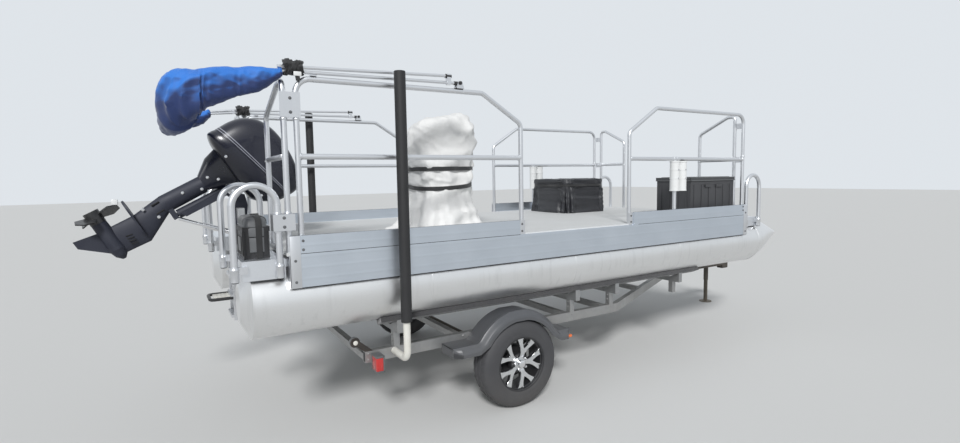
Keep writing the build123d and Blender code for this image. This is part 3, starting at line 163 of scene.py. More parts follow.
class Shader:
    """Node tree of a material or of the world."""

    def __init__(self, owner: bpy.types.Material | bpy.types.World) -> None:
        """Starts with the owner's tree, emptied.

        Args:
            owner: The material or world.
        """
        owner.use_nodes = True
        self.tree = owner.node_tree
        self.tree.nodes.clear()

    def add(self, kind: str, settings: dict, inputs: dict) -> bpy.types.Node:
        """Adds one node.

        Args:
            kind: The node's type.
            settings: Properties that are set first.
            inputs: Values or signals by socket name or number.

        Returns:
            The node.
        """
        made = self.tree.nodes.new(kind)
        for key, value in settings.items():
            setattr(made, key, value)
        for key, value in inputs.items():
            if isinstance(value, Signal):
                self.tree.links.new(value.socket, made.inputs[key])
            else:
                made.inputs[key].default_value = value
        return made

    def node(self, kind: str, settings: dict, inputs: dict, output: int | str = 0) -> Signal:
        """Adds one node and returns the output that is wanted."""
        return Signal(self, self.add(kind, settings, inputs).outputs[output])

    def place(self, stretch: Point = (1.0, 1.0, 1.0)) -> Signal:
        """Place on the piece in metres, stretched by a factor for each axis."""
        spot = self.node("ShaderNodeTexCoord", {}, {}, "Object")
        return self.node("ShaderNodeMapping", {}, {"Vector": spot, "Scale": stretch})

    def part(self, vector: Signal, axis: int) -> Signal:
        """One of the three numbers of a vector or a colour."""
        return self.node("ShaderNodeSeparateXYZ", {}, {"Vector": vector}, axis)

    def along(self, axis: int) -> Signal:
        """One coordinate of the place on the piece, in metres."""
        return self.part(self.place(), axis)

    def speckle(self, size: float, detail: float = 3.0, stretch: Point = (1.0, 1.0, 1.0)) -> Signal:
        """Noise from 0 to 1 with features of that size in metres."""
        inputs = {"Vector": self.place(stretch), "Scale": 1.0 / size, "Detail": detail}
        return self.node("ShaderNodeTexNoise", {}, inputs)

    def cells(self, size: float, output: str = "Distance") -> Signal:
        """Cell pattern with cells of that size in metres."""
        inputs = {"Vector": self.place(), "Scale": 1.0 / size}
        return self.node("ShaderNodeTexVoronoi", {"feature": "F1"}, inputs, output)

    def mix(self, share: "Signal | Number", first: "Signal | Color", second: "Signal | Color") -> Signal:
        """Mixes two colours by a share of the second."""
        pair = [c if isinstance(c, Signal) else (*c, 1.0) for c in (first, second)]
        return self.node("ShaderNodeMix", {"data_type": "RGBA"}, {0: share, 6: pair[0], 7: pair[1]}, 2)

    def bump(self, height: Signal, depth: float) -> Signal:
        """Normal of a relief whose height runs from 0 to 1 over that depth in metres."""
        return self.node("ShaderNodeBump", {}, {"Height": height, "Distance": depth, "Strength": 1.0})

    def close(self, kind: str, inputs: dict, output: str = "ShaderNodeOutputMaterial") -> None:
        """Closes the tree with a shader node of that kind."""
        self.add(output, {}, {"Surface": self.node(kind, {}, inputs)})


class Grain(Enum):
    """Fine relief of a finish."""

    SMOOTH = "smooth"
    BRUSHED = "brushed"
    REEDED = "reeded"
    SPANGLE = "spangle"
    WEAVE = "weave"
    PEBBLE = "pebble"
    PILE = "pile"
    PRISMS = "prisms"


def toned(color: Color, share: float) -> Color:
    """The colour at a share of its strength."""
    return tuple(c * share for c in color)


@dataclass(frozen=True)
class Finish:
    """One finish of the boat or its trailer.

    Each takes its name from a material slot of the record, and its sizes are in metres.
    """

    slot: str
    color: Color
    worn: Color
    patch: float = 0.5
    patch_size: float = 0.35
    rough: Pair = (0.35, 0.5)
    metallic: float = 0.0
    coat: float = 0.0
    sheen: float = 0.0
    grain: Grain = Grain.SMOOTH
    grain_size: float = 0.002
    depth: float = 0.0002
    dust: float = 0.0
    dust_top: float = 1.0
    dust_color: Color = (0.42, 0.37, 0.29)
    dust_rough: float = 0.85
    streaks: float = 0.0
    # Dark colour mixed in where the surface faces sideways or down: painted shade of the underside
    painted_shade: Color | None = None
    # How strongly flecks and crystals show, and the tone that they bring
    flecks: Pair = (0.35, 0.82)
    crystals: Pair = (0.35, 0.7)
    coat_rough: float = 0.08
    sheen_rough: float = 0.5

    def relief(self, shader: Shader) -> Signal:
        """Height of the fine relief.

        Args:
            shader: The material's tree.

        Returns:
            The height, from 0 to 1.
        """
        size = self.grain_size
        if self.grain is Grain.BRUSHED:
            return shader.speckle(size, 4.0, (0.02, 1.0, 1.0))
        if self.grain is Grain.REEDED:
            lines = shader.along(2).wave(size) ** 6.0
            return lines * 0.6 + shader.speckle(0.004, 3.0, (0.02, 1.0, 1.0)) * 0.4
        if self.grain is Grain.SPANGLE:
            return shader.cells(size)
        if self.grain is Grain.WEAVE:
            across = shader.along(0) + shader.along(1) * 0.7
            return across.wave(size) * shader.along(2).wave(size) + shader.speckle(size * 4, 2.0) * 0.3
        if self.grain is Grain.PEBBLE:
            return shader.cells(size) * 0.6 + shader.speckle(size * 0.5, 3.0) * 0.4
        if self.grain is Grain.PILE:
            return shader.speckle(size, 6.0)
        if self.grain is Grain.PRISMS:
            return shader.along(2).wave(size) * shader.along(0).wave(size)
        return shader.speckle(size, 3.0)

    def tint(self, shader: Shader, patches: Signal) -> Signal:
        """Colour of the finish before dust settles on it, with painted shade where the finish has it.

        Args:
            shader: The material's tree.
            patches: Where the finish is worn, from 0 to 1.

        Returns:
            The colour.
        """
        color = shader.mix(patches * self.patch, self.color, self.worn)
        flecks = shader.speckle(self.grain_size * 3, 2.0) * self.flecks[0]
        color = shader.mix(flecks.clamp(), color, toned(self.color, self.flecks[1]))
        if self.grain is Grain.SPANGLE:
            crystals = shader.part(shader.cells(self.grain_size * 5, "Color"), 0) * self.crystals[0]
            color = shader.mix(crystals, color, toned(self.color, self.crystals[1]))
        if self.streaks > 0:
            runs = shader.speckle(0.05, 4.0, (1.0, 1.0, 0.05)).between(0.55, 0.8)
            color = shader.mix(runs * self.streaks, color, toned(self.worn, 0.6))
        # Painted shade: the colour darkens where the surface turns from facing up to sideways and down
        if self.painted_shade is not None:
            up = shader.part(shader.node("ShaderNodeNewGeometry", {}, {}, "Normal"), 2)
            lit = (up + shader.speckle(0.2, 3.0) * 0.2).between(-0.02, 0.42)
            color = shader.mix(lit, self.painted_shade, color)
        return color

    def make(self) -> bpy.types.Material:
        """Builds the material.

        Returns:
            The material, named for the finish.
        """
        material = bpy.data.materials.new(self.slot)
        shader = Shader(material)
        patches = shader.speckle(self.patch_size, 5.0).between(0.5 - 0.5 * self.patch, 0.9 - 0.2 * self.patch)
        color = self.tint(shader, patches)
        rough = patches * (self.rough[1] - self.rough[0]) + self.rough[0]
        if self.dust > 0:
            low = shader.along(2).between(self.dust_top, 0.0)
            settled = (low * (shader.speckle(0.08, 6.0) + 0.35)).clamp() * self.dust
            color = shader.mix(settled, color, self.dust_color)
            rough = rough + settled * (self.dust_rough - self.rough[1])
        inputs = {"Base Color": color, "Roughness": rough.clamp(), "Metallic": self.metallic}
        inputs["Normal"] = shader.bump(self.relief(shader), self.depth)
        if self.coat > 0:
            inputs.update({"Coat Weight": self.coat, "Coat Roughness": self.coat_rough})
        if self.sheen > 0:
            inputs.update({"Sheen Weight": self.sheen, "Sheen Roughness": self.sheen_rough})
        shader.close("ShaderNodeBsdfPrincipled", inputs)
        return material


# Finishes of the record's slots, then those of small trim
FINISHES = (
    Finish("hull_aluminium", (0.88, 0.88, 0.88), (0.72, 0.72, 0.71), 0.6, 0.5, (0.30, 0.46), 1.0,
           grain=Grain.BRUSHED, grain_size=0.003, depth=0.0003, streaks=0.25),
    # Skirt: the blue-grey tint of both colours is a painted reflection of blue sky on bare aluminium
    Finish("skirt_aluminium", (0.60, 0.65, 0.71), (0.68, 0.72, 0.77), 0.5, 0.3, (0.36, 0.5), 1.0,
           grain=Grain.REEDED, grain_size=0.074, depth=0.0008),
    Finish("rail_aluminium", (0.74, 0.75, 0.77), (0.60, 0.61, 0.63), 0.4, 0.15, (0.30, 0.46), 1.0,
           grain=Grain.PEBBLE, grain_size=0.004, depth=0.0001),
    Finish("platform_aluminium", (0.80, 0.82, 0.85), (0.66, 0.68, 0.71), 0.5, 0.12, (0.30, 0.48), 1.0,
           grain=Grain.BRUSHED, grain_size=0.003),
    Finish("deck_sheet", (0.68, 0.69, 0.69), (0.57, 0.57, 0.56), 0.6, 0.6, (0.6, 0.8),
           grain=Grain.PEBBLE, grain_size=0.006, depth=0.0006),
    Finish("white_plastic", (0.78, 0.79, 0.79), (0.66, 0.66, 0.63), 0.4, 0.1, (0.3, 0.45), coat=0.2,
           grain_size=0.003),
    # The boot cloth darkens towards its sides and underside: painted shade
    Finish("boot_cloth", (0.015, 0.16, 0.62), (0.03, 0.24, 0.70), 0.5, 0.18, (0.5, 0.65), sheen=0.2,
           grain=Grain.WEAVE, grain_size=0.0022, depth=0.0003, painted_shade=(0.010, 0.030, 0.13)),
    Finish("helm_cloth", (0.80, 0.80, 0.79), (0.70, 0.69, 0.67), 0.4, 0.22, (0.7, 0.85), sheen=0.2,
           grain=Grain.WEAVE, grain_size=0.0024, depth=0.0003),
    Finish("bench_cloth", (0.022, 0.023, 0.027), (0.05, 0.05, 0.055), 0.5, 0.2, (0.3, 0.48),
           grain=Grain.WEAVE, grain_size=0.0022, depth=0.0003),
    Finish("box_resin", (0.045, 0.046, 0.050), (0.085, 0.085, 0.09), 0.4, 0.25, (0.45, 0.62),
           grain=Grain.PEBBLE, grain_size=0.003, depth=0.0004),
    Finish("battery_plastic", (0.018, 0.018, 0.020), (0.05, 0.05, 0.05), 0.4, 0.1, (0.38, 0.55),
           grain=Grain.PEBBLE, depth=0.0003),
    Finish("cowl_paint", (0.007, 0.008, 0.018), (0.014, 0.015, 0.028), 0.4, 0.3, (0.24, 0.36), coat=0.3,
           grain_size=0.001, depth=0.00005),
    Finish("leg_paint", (0.014, 0.016, 0.030), (0.05, 0.055, 0.07), 0.5, 0.12, (0.52, 0.66), 0.1,
           depth=0.0001),
    Finish("propeller_paint", (0.012, 0.012, 0.014), (0.10, 0.10, 0.10), 0.5, 0.05, (0.3, 0.5), 0.3,
           coat=0.3),
    Finish("trailer_zinc", (0.42, 0.43, 0.44), (0.30, 0.29, 0.28), 0.6, 0.2, (0.42, 0.62), 0.9,
           grain=Grain.SPANGLE, grain_size=0.006, dust=0.45, dust_top=0.9),
    Finish("trailer_black", (0.022, 0.022, 0.023), (0.09, 0.06, 0.045), 0.5, 0.08, (0.42, 0.6), 0.3,
           grain=Grain.PEBBLE, grain_size=0.003, dust=0.4, dust_top=0.8),
    Finish("fender_plastic", (0.070, 0.074, 0.082), (0.12, 0.125, 0.135), 0.5, 0.3, (0.28, 0.42),
           grain=Grain.PEBBLE, grain_size=0.0025, dust=0.1, dust_top=0.9),
    Finish("bunk_carpet", (0.035, 0.036, 0.04), (0.08, 0.075, 0.07), 0.5, 0.1, (0.9, 1.0), sheen=0.5,
           grain=Grain.PILE, grain_size=0.003, depth=0.002),
    Finish("guide_pipe", (0.72, 0.71, 0.66), (0.55, 0.52, 0.45), 0.5, 0.08, (0.35, 0.5)),
    Finish("guide_foam", (0.014, 0.014, 0.015), (0.04, 0.04, 0.042), 0.4, 0.12, (0.55, 0.75),
           grain=Grain.PEBBLE, depth=0.0003),
    Finish("lamp_red", (0.50, 0.012, 0.010), (0.62, 0.05, 0.03), 0.3, 0.02, (0.12, 0.2), coat=0.8,
           grain=Grain.PRISMS, grain_size=0.006, depth=0.0005),
    Finish("tyre_rubber", (0.048, 0.048, 0.052), (0.075, 0.075, 0.078), 0.5, 0.1, (0.55, 0.75),
           grain=Grain.PEBBLE, depth=0.0003, dust=0.06, dust_top=0.4),
    Finish("rim_alloy", (0.74, 0.75, 0.76), (0.60, 0.60, 0.60), 0.3, 0.05, (0.16, 0.3), 1.0, coat=0.4,
           grain_size=0.0015, depth=0.00005),
    Finish("chrome", (0.80, 0.80, 0.81), (0.66, 0.66, 0.66), 0.3, 0.03, (0.10, 0.22), 1.0,
           grain_size=0.001, depth=0.00003),
    Finish("stripe", (0.34, 0.35, 0.40), (0.26, 0.27, 0.31), 0.3, 0.05, (0.3, 0.4), coat=0.5,
           grain_size=0.001),
    Finish("webbing", (0.012, 0.012, 0.013), (0.03, 0.03, 0.03), 0.4, 0.05, (0.6, 0.8), sheen=0.2,
           grain=Grain.WEAVE, grain_size=0.0016, depth=0.0004),
    Finish("strap_grey", (0.30, 0.28, 0.36), (0.42, 0.40, 0.46), 0.5, 0.06, (0.7, 0.85),
           grain=Grain.WEAVE, grain_size=0.0016, depth=0.0004),
    Finish("amber", (0.80, 0.16, 0.02), (0.60, 0.10, 0.02), 0.3, 0.02, (0.12, 0.2), coat=0.8,
           grain=Grain.PRISMS, grain_size=0.004, depth=0.0004),
    Finish("cap_grey", (0.11, 0.115, 0.12), (0.18, 0.18, 0.185), 0.4, 0.08, (0.32, 0.5),
           grain=Grain.PEBBLE),
    Finish("shadow", (0.006, 0.006, 0.007), (0.012, 0.012, 0.012), 0.3, 0.05, (0.7, 0.9)),
)
MATERIALS = {finish.slot: finish.make() for finish in FINISHES}


def turned(count: int, start: float = 0.0) -> list[float]:
    """Evenly spaced angles of one full turn."""
    return [start + TURN * i / count for i in range(count)]


def blend_rows(table: Rows, steps: int) -> list[list[float]]:
    """Smoothly fills in between the rows of a table.

    Args:
        table: Rows of numbers.
        steps: Rows that are made for each gap.

    Returns:
        The filled table, with the last row.
    """
    rows = []
    last = len(table) - 1
    for i in range(last):
        near = [table[min(max(j, 0), last)] for j in (i - 1, i, i + 1, i + 2)]
        for k in range(steps):
            t = k / steps
            row = []
            for a, b, c, d in zip(*near):
                bend = 2 * b + (c - a) * t
                bend += (2 * a - 5 * b + 4 * c - d) * t**2 + (3 * b - a - 3 * c + d) * t**3
                row.append(bend / 2)
            rows.append(row)
    rows.append(list(table[-1]))
    return rows


def oval(angle: float, power: float) -> Pair:
    """Point of a rounded box of half size 1 at that angle; power 2 is a circle."""
    c, s = math.cos(angle), math.sin(angle)
    return math.copysign(abs(c) ** (2 / power), c), math.copysign(abs(s) ** (2 / power), s)


def circle(middle: Vector, side: Vector, over: Vector, radius: float, count: int) -> list[Vector]:
    """Points of a circle in the plane of two directions, its radius in millimetres."""
    return [middle + (side * math.cos(a) + over * math.sin(a)) * (radius / 1000) for a in turned(count)]


def heading(path: Sequence[Vector], i: int) -> Vector:
    """Direction of a path at one of its points."""
    return (path[min(i + 1, len(path) - 1)] - path[max(i - 1, 0)]).normalized()


class Form:
    """A mesh in the making, in the row frame. Sizes in millimetres, points in metres."""

    def __init__(self) -> None:
        """Starts empty."""
        self.mesh = bmesh.new()

    def skin(self, rings: Sequence[Sequence[Vector]], around: bool = True, ends: bool = True) -> "Form":
        """Skins a row of rings that have the same number of points.

        Args:
            rings: The rings.
            around: True where the last point of a ring meets its first.
            ends: True where the first and the last ring are closed.

        Returns:
            The form itself.
        """
        rows = [[self.mesh.verts.new(point) for point in ring] for ring in rings]
        count = len(rows[0])
        for low, high in zip(rows, rows[1:]):
            for i in range(count if around else count - 1):
                j = (i + 1) % count
                self.mesh.faces.new((low[i], low[j], high[j], high[i]))
        if ends:
            self.mesh.faces.new(rows[0][::-1])
            self.mesh.faces.new(rows[-1])
        return self

    def tube(self, path: Sequence[Vector], radius: float, sides: int = 12) -> "Form":
        """Sweeps a round section along a path.

        Args:
            path: Points of the path.
            radius: Radius of the section.
            sides: Points round the section.

        Returns:
            The form itself.
        """
        side = heading(path, 0).orthogonal().normalized()
        rings = []
        for i, spot in enumerate(path):
            ahead = heading(path, i)
            side = (side - ahead * side.dot(ahead)).normalized()
            rings.append(circle(spot, side, ahead.cross(side), radius, sides))
        return self.skin(rings)

    def band(self, path: Sequence[Vector], out: Sequence[Vector], width: float, thick: float) -> "Form":
        """Sweeps a flat strap along a path.

        Args:
            path: Points of the strap's middle line.
            out: Outward direction at each point.
            width: Width of the strap.
            thick: Thickness of the strap.

        Returns:
            The form itself.
        """
        rings = []
        for i, spot in enumerate(path):
            across = heading(path, i).cross(out[i]).normalized() * (width / 2000)
            lift = out[i].normalized() * (thick / 2000)
            rings.append([spot + across * a + lift * b for a, b in ((1, 1), (-1, 1), (-1, -1), (1, -1))])
        return self.skin(rings)

    def lathe(self, centre: Vector, axis: Vector, profile: Rows, sides: int = 24,
              ends: bool = True) -> "Form":
        """Turns a profile about an axis.

        Args:
            centre: Point on the axis.
            axis: Direction of the axis.
            profile: Pairs of the distance along the axis and the radius.
            sides: Points round the turn.
            ends: True where both ends are closed.

        Returns:
            The form itself.
        """
        axis = axis.normalized()
        side = axis.orthogonal().normalized()
        rings = []
        for along, radius in profile:
            rings.append(circle(centre + axis * (along / 1000), side, axis.cross(side), radius, sides))
        return self.skin(rings, ends=ends)

    def prism(self, outline: Sequence[Vector], deep: Vector, bevel: float = 0.0) -> "Form":
        """Raises a flat outline into a plate.

        Args:
            outline: Corners of the plate's first face.
            deep: Way from the first face to the second.
            bevel: Width by which its edges are eased.

        Returns:
            The form itself.
        """
        rows = [[self.mesh.verts.new(point + shift) for point in outline] for shift in (Vector(), deep)]
        count = len(outline)
        faces = [self.mesh.faces.new(rows[0][::-1]), self.mesh.faces.new(rows[1])]
        for i in range(count):
            j = (i + 1) % count
            faces.append(self.mesh.faces.new((rows[0][i], rows[0][j], rows[1][j], rows[1][i])))
        if bevel > 0:
            edges = list(dict.fromkeys(edge for face in faces for edge in face.edges))
            bmesh.ops.bevel(self.mesh, geom=edges, offset=bevel / 1000, segments=2, profile=0.5,
                            affect="EDGES")
        return self

    def block(self, low: Vector, high: Vector, bevel: float) -> "Form":
        """Adds a box between two corners."""
        corners = ((low.x, low.y), (high.x, low.y), (high.x, high.y), (low.x, high.y))
        return self.prism([Vector((x, y, low.z)) for x, y in corners], UP * (high.z - low.z), bevel)

    def brick(self, stations: Pair, widths: Pair, heights: Pair, bevel: float = 2.0) -> "Form":
        """Adds a box between pairs of stations, y values and heights."""
        spans = (stations, widths, heights)
        return self.block(mm(*(min(span) for span in spans)), mm(*(max(span) for span in spans)), bevel)

    def bolt(self, spot: Vector, axis: Vector, radius: float = 7.0) -> "Form":
        """Adds a hexagon bolt head on its washer.

        Args:
            spot: Where the bolt goes in.
            axis: Way that it points.
            radius: Radius of the thread.

        Returns:
            The form itself.
        """
        washer, head = ((0, 1.5), (0.25, 1.5), (0.3, 1.3)), ((0.25, 1.1), (1.0, 1.1), (1.2, 0.85))
        for shape, sides in ((washer, 16), (head, 6)):
            self.lathe(spot, axis, [(along * radius, reach * radius) for along, reach in shape], sides)
        return self

    def weld(self) -> None:
        """Joins points that meet and turns every face outwards."""
        bmesh.ops.remove_doubles(self.mesh, verts=self.mesh.verts, dist=1e-5)
        bmesh.ops.recalc_face_normals(self.mesh, faces=self.mesh.faces)

    def swell(self, rise: Callable[[Vector], float]) -> "Form":
        """Moves every point along its normal.

        Args:
            rise: Gives a point's move in millimetres from its place.

        Returns:
            The form itself.
        """
        self.weld()
        self.mesh.normal_update()
        moves = [(vert, vert.normal * (rise(vert.co) / 1000)) for vert in self.mesh.verts]
        for vert, move in moves:
            vert.co += move
        return self

    def ruffle(self, amount: float, size: float, tall: float, seed: float = 0.0) -> "Form":
        """Moves the surface in and out by noise.

        Args:
            amount: Largest move.
            size: Size of a wrinkle.
            tall: Height of a wrinkle as a share of its size.
            seed: Shift of the noise.

        Returns:
            The form itself.
        """
        def rise(place: Vector) -> float:
            """Height of the noise at a place."""
            spot = Vector([c / (size / 1000 * share) + seed for c, share in zip(place, (1.0, 1.0, tall))])
            return amount * (noise.noise(spot) + 0.5 * noise.noise(spot * 2.3))

        return self.swell(rise)

    def fold(self, amount: float, size: float, lean: float, seed: float) -> "Form":
        """Moves the surface into flat planes between sharp folds.

        Args:
            amount: Height of a fold.
            size: Distance between folds.
            lean: How far the folds run off the level.
            seed: Shift of the noise.

        Returns:
            The form itself.
        """
        def rise(place: Vector) -> float:
            """Height of the folds.

            Args:
                place: A point of the surface.

            Returns:
                The height there.
            """
            x, y, z = place
            spot = Vector((x + lean * z, y + lean * z, 1.6 * (z - lean * x))) / (size / 1000)
            return amount * (0.5 - min(1.0, 2.4 * abs(noise.noise(spot + Vector((seed, seed, seed))))))

        return self.swell(rise)

    def place(self, name: str, body: str, slot: str, finish: str = "", crease: float = 35.0,
              replaces: Sequence[str] = ()) -> bpy.types.Object:
        """Turns the form into a piece of the model.

        Args:
            name: Name of the piece.
            body: The CAD body that it rides on, or empty where it rides on none.
            slot: The record's material slot.
            finish: Finish where it isn't the slot's own.
            crease: Angle in degrees over which an edge stays sharp.
            replaces: CAD nodes that it stands for.

        Returns:
            The object.
        """
        self.weld()
        for face in self.mesh.faces:
            face.smooth = True
        for edge in self.mesh.edges:
            edge.smooth = len(edge.link_faces) != 2 or edge.calc_face_angle(0.0) < math.radians(crease)
        data = bpy.data.meshes.new(name)
        self.mesh.to_mesh(data)
        self.mesh.free()
        piece = bpy.data.objects.new(name, data)
        bpy.context.scene.collection.objects.link(piece)
        data.materials.append(MATERIALS[finish or slot])
        if body:
            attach(piece, body)
        if replaces:
            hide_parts(*replaces)
        return piece


@dataclass(frozen=True)
class Sided:
    """What comes once on each side. Sizes in millimetres, y outboard from the keel line."""

    name: str
    side: float

    @property
    def out(self) -> Vector:
        """Outboard direction."""
        return Vector((0, self.side, 0))

    def at(self, station: float, y: float, z: float) -> Vector:
        """Point on this side."""
        return mm(station, self.side * y, z)

    def brick(self, form: Form, stations: Pair, widths: Pair, heights: Pair, bevel: float = 2.0) -> None:
        """Adds a box on this side to a form."""
        form.brick(stations, (self.side * widths[0], self.side * widths[1]), heights, bevel)

    def fit(self, form: Form, piece: str, slot: str, finish: str = "", body: str = "boat") -> None:
        """Places a form as this side's piece of that name."""
        form.place(f"{piece}_{self.name}", body, slot, finish)


@dataclass(frozen=True)
class Wheel(Sided):
    """Road wheel: tyre, split-spoke rim, hub cap and nuts."""

    radius: float = 374.0
    face: float = 1290.0
    width: float = 225.0
    spokes: int = 5
    steps: int = 144
    # Turn of the first spoke from upright, forward
    clock: float = math.radians(18)
    # Half of the tyre's section: distance in from the outer face, radius
    wall: Rows = ((14, 217), (8, 223), (3, 240), (0, 262), (1, 270), (0, 274), (2, 300), (7, 322), (15, 341),
                  (24, 353))
    tread: Rows = ((34, 361), (46, 366), (60, 370), (66, 363), (73, 363), (77, 372), (100, 374), (104, 366),
                   (110, 366))
    # Tread blocks: depths from and to, every how many steps round, which of them
    cuts: Rows = ((31, 61, 4, 0), (77, 100, 6, 2))
    cut: float = 5.0
    # One half of a split spoke: radius, distance from its middle line
    prong: Rows = ((48, 17), (92, 20), (128, 38), (158, 64), (174, 78), (189, 95), (212, 62), (209, 36),
                   (197, 42), (164, 28), (134, 9), (122, 0))
    # How far the spokes rise outwards, the radius from which they do and the way they take for it
    dish: Point = (16.0, 48.0, 163.0)
    # Turned profiles: depth behind the face, radius
    boss: Rows = ((36, 30), (36, 50), (40, 55), (50, 56))
    lip: Rows = ((8, 217), (6, 229), (10, 230), (12, 221), (20, 217), (30, 213), (34, 206))
    barrel: Rows = ((34, 206), (60, 202), (150, 198), (205, 212))
    hub: Rows = ((46, 50), (48, 82), (90, 88), (96, 60))
    drum: Rows = ((120, 0), (122, 125), (128, 132), (180, 134))
    cap: Rows = ((40, 36), (22, 35), (6, 31), (1, 24), (0, 0))
    # Depth and radius at which the nuts sit, and their profile
    nut_spot: Pair = (34.0, 58.0)
    nut: Rows = ((-12, 11), (10, 11), (16, 8), (18, 0))

    def spot(self, deep: float, radius: float, angle: float) -> Vector:
        """Point of the wheel from its depth behind the face, radius and angle."""
        return self.at(radius * math.sin(angle), self.face - deep, self.radius + radius * math.cos(angle))

    def tyre(self) -> None:
        """Builds the tyre with its grooves and shoulder blocks."""
        outer = [*self.wall, *self.tread]
        profile = outer + [(self.width - deep, radius) for deep, radius in reversed(outer)]
        rings = []
        for i, angle in enumerate(turned(self.steps)):
            ring = []
            for deep, radius in profile:
                edge = min(deep, self.width - deep)
                cut = any(low <= edge <= high and i % every == which for low, high, every, which in self.cuts)
                ring.append(self.spot(deep, radius - self.cut * cut, angle))
            rings.append(ring)
        form = Form().skin([*rings, rings[0]], around=False, ends=False)
        node = f"tyre_{self.name}"
        form.place(f"{node}_tread", f"wheel_{self.name}", "tyre_rubber", replaces=[node])

    def fork(self, form: Form, half_line: Sequence[Pair], deep: float, thick: float, bevel: float) -> None:
        """Adds all the split spokes.

        Args:
            form: The form that they go into.
            half_line: One half of a spoke's outline.
            deep: Depth of the front behind the wheel's face at the hub.
            thick: Thickness of the spokes.
            bevel: Width by which their edges are eased.
        """
        rise, start, way = self.dish
        other_half = [(radius, -half) for radius, half in reversed(half_line) if half]
        for turn in turned(self.spokes, self.clock):
            points = []
            for radius, half in [*half_line, *other_half]:
                depth = deep - rise * (radius - start) / way
                points.append(self.spot(depth, math.hypot(radius, half), turn + math.atan2(half, radius)))
            form.prism(points, self.out * (-thick / 1000), bevel)

    def build(self) -> None:
        """Builds the tyre, then lip, barrel, spokes, cap and nuts of the rim."""
        self.tyre()
        centre, inward = self.spot(0, 0, 0), -self.out
        body, node = f"wheel_{self.name}", f"rim_{self.name}"
        form = Form()
        self.fork(form, self.prong, deep=40, thick=6, bevel=1.5)
        form.lathe(centre, inward, self.boss, 48)
        form.place(f"{node}_face", body, "rim_alloy", crease=25, replaces=[node])
        dark = Form().lathe(centre, inward, self.lip, 96, ends=False)
        wider = [(radius, half + 3) for radius, half in self.prong[:-1]]
        self.fork(dark, wider, deep=46.5, thick=28, bevel=2)
        dark.lathe(centre, inward, self.barrel, 96, ends=False)
        dark.lathe(centre, inward, self.hub, 48)
        dark.lathe(centre, inward, self.drum, 48)
        dark.place(f"{node}_pockets", body, "rim_alloy", "battery_plastic")
        bright = Form().lathe(centre, inward, self.cap, 32)
        for turn in turned(self.spokes, self.clock + math.pi / self.spokes):
            bright.lathe(self.spot(*self.nut_spot, turn), self.out, self.nut, 6)
        bright.place(f"{node}_cap", body, "rim_alloy", "chrome")


@dataclass(frozen=True)
class Fender(Sided):
    """Moulded fender with two steps, a crown facet and a rolled bead."""

    arch: float = 441.0
    hub: float = 374.0
    flat: float = 9.0
    # Section: y, distance out from the arch
    section: Rows = (
        (1042, 0), (1208, 0), (1212, 6), (1226, 9), (1240, 6), (1245, 0), (1266, -12), (1281, -26),
        (1288, -42), (1288, -70), (1282, -70), (1281, -46), (1264, -20), (1240, -6), (1042, -6),
    )
    # Steps from aft to fore: stations of their sections from the outer end, and height
    landings: Rows = ((-620, -560, -402), (552, 497, 418))
    heights: Pair = (600, 570)
    # Degrees between two sections of the arch
    pitch: float = 5.5
    # End walls: y from and to, how far the outer end lies inward and how far it drops
    walls: Rows = ((1042, 1238, 0, 0), (1238, 1288, 60, 42))
    wall: float = 5.0
    tall: float = 70.0

    def line(self) -> list[tuple[float, float, float, float]]:
        """Line of the arch with its two steps.

        Returns:
            Station, height, sine and cosine of the outward direction, from aft to fore.
        """
        (aft, fore), (aft_z, fore_z) = self.landings, self.heights
        aft_turn, fore_turn = (math.degrees(math.acos((z - self.hub) / self.arch)) for z in self.heights)
        turns = [turn for turn in [3 - aft_turn + self.pitch * i for i in range(10)] if turn < -self.flat - 2]
        turns += [-self.flat, self.flat]
        turns += [turn for turn in [self.flat + self.pitch * i for i in range(1, 12)] if turn < fore_turn - 3]
        line = [(x, aft_z, 0.0, 1.0) for x in aft]
        for turn in turns:
            s, c = math.sin(math.radians(turn)), math.cos(math.radians(turn))
            line.append((self.arch * s, self.hub + self.arch * c, s, c))
        return line + [(x, fore_z, 0.0, 1.0) for x in reversed(fore)]

    def rings(self) -> list[list[Vector]]:
        """Sections from the aft step over the arch to the front step.

        Returns:
            The sections, narrower at both ends.
        """
        line = self.line()
        rows = []
        for place in line:
            x, z, s, c = place
            limit = self.walls[0][1] if place in (line[0], line[-1]) else math.inf
            rows.append([self.at(x + out * s, min(y, limit), z + out * c) for y, out in self.section])
        return rows

    def build(self) -> None:
        """Builds the shell, end walls, brackets and the marker lamp."""
        form = Form().skin(self.rings())
        for (x, *_), z, inward in zip(self.landings, self.heights, (1, -1)):
            for y0, y1, shift, drop in self.walls:
                end = x + inward * shift
                wall = [self.at(x, y0, z), self.at(end, y1, z - drop), self.at(end, y1, z - self.tall),
                        self.at(x, y0, z - self.tall)]
                form.prism(wall, FORWARD * (inward * self.wall / 1000), 1)
            self.brick(form, (x + inward * 40, x + inward * 80), (1040, 1230), (z - 34, z - 7))
        form.place(f"fender_{self.name}_shell", "boat", "fender_plastic", crease=22,
                   replaces=[f"fender_{self.name}"])
        x, z = self.landings[1][0], self.heights[1]
        lamp = Form()
        self.brick(lamp, (x - 42, x - 4), (1248, 1276), (z - 62, z - 40), 4)
        lamp.place(f"fender_{self.name}_marker", "boat", "lamp_red", "amber")


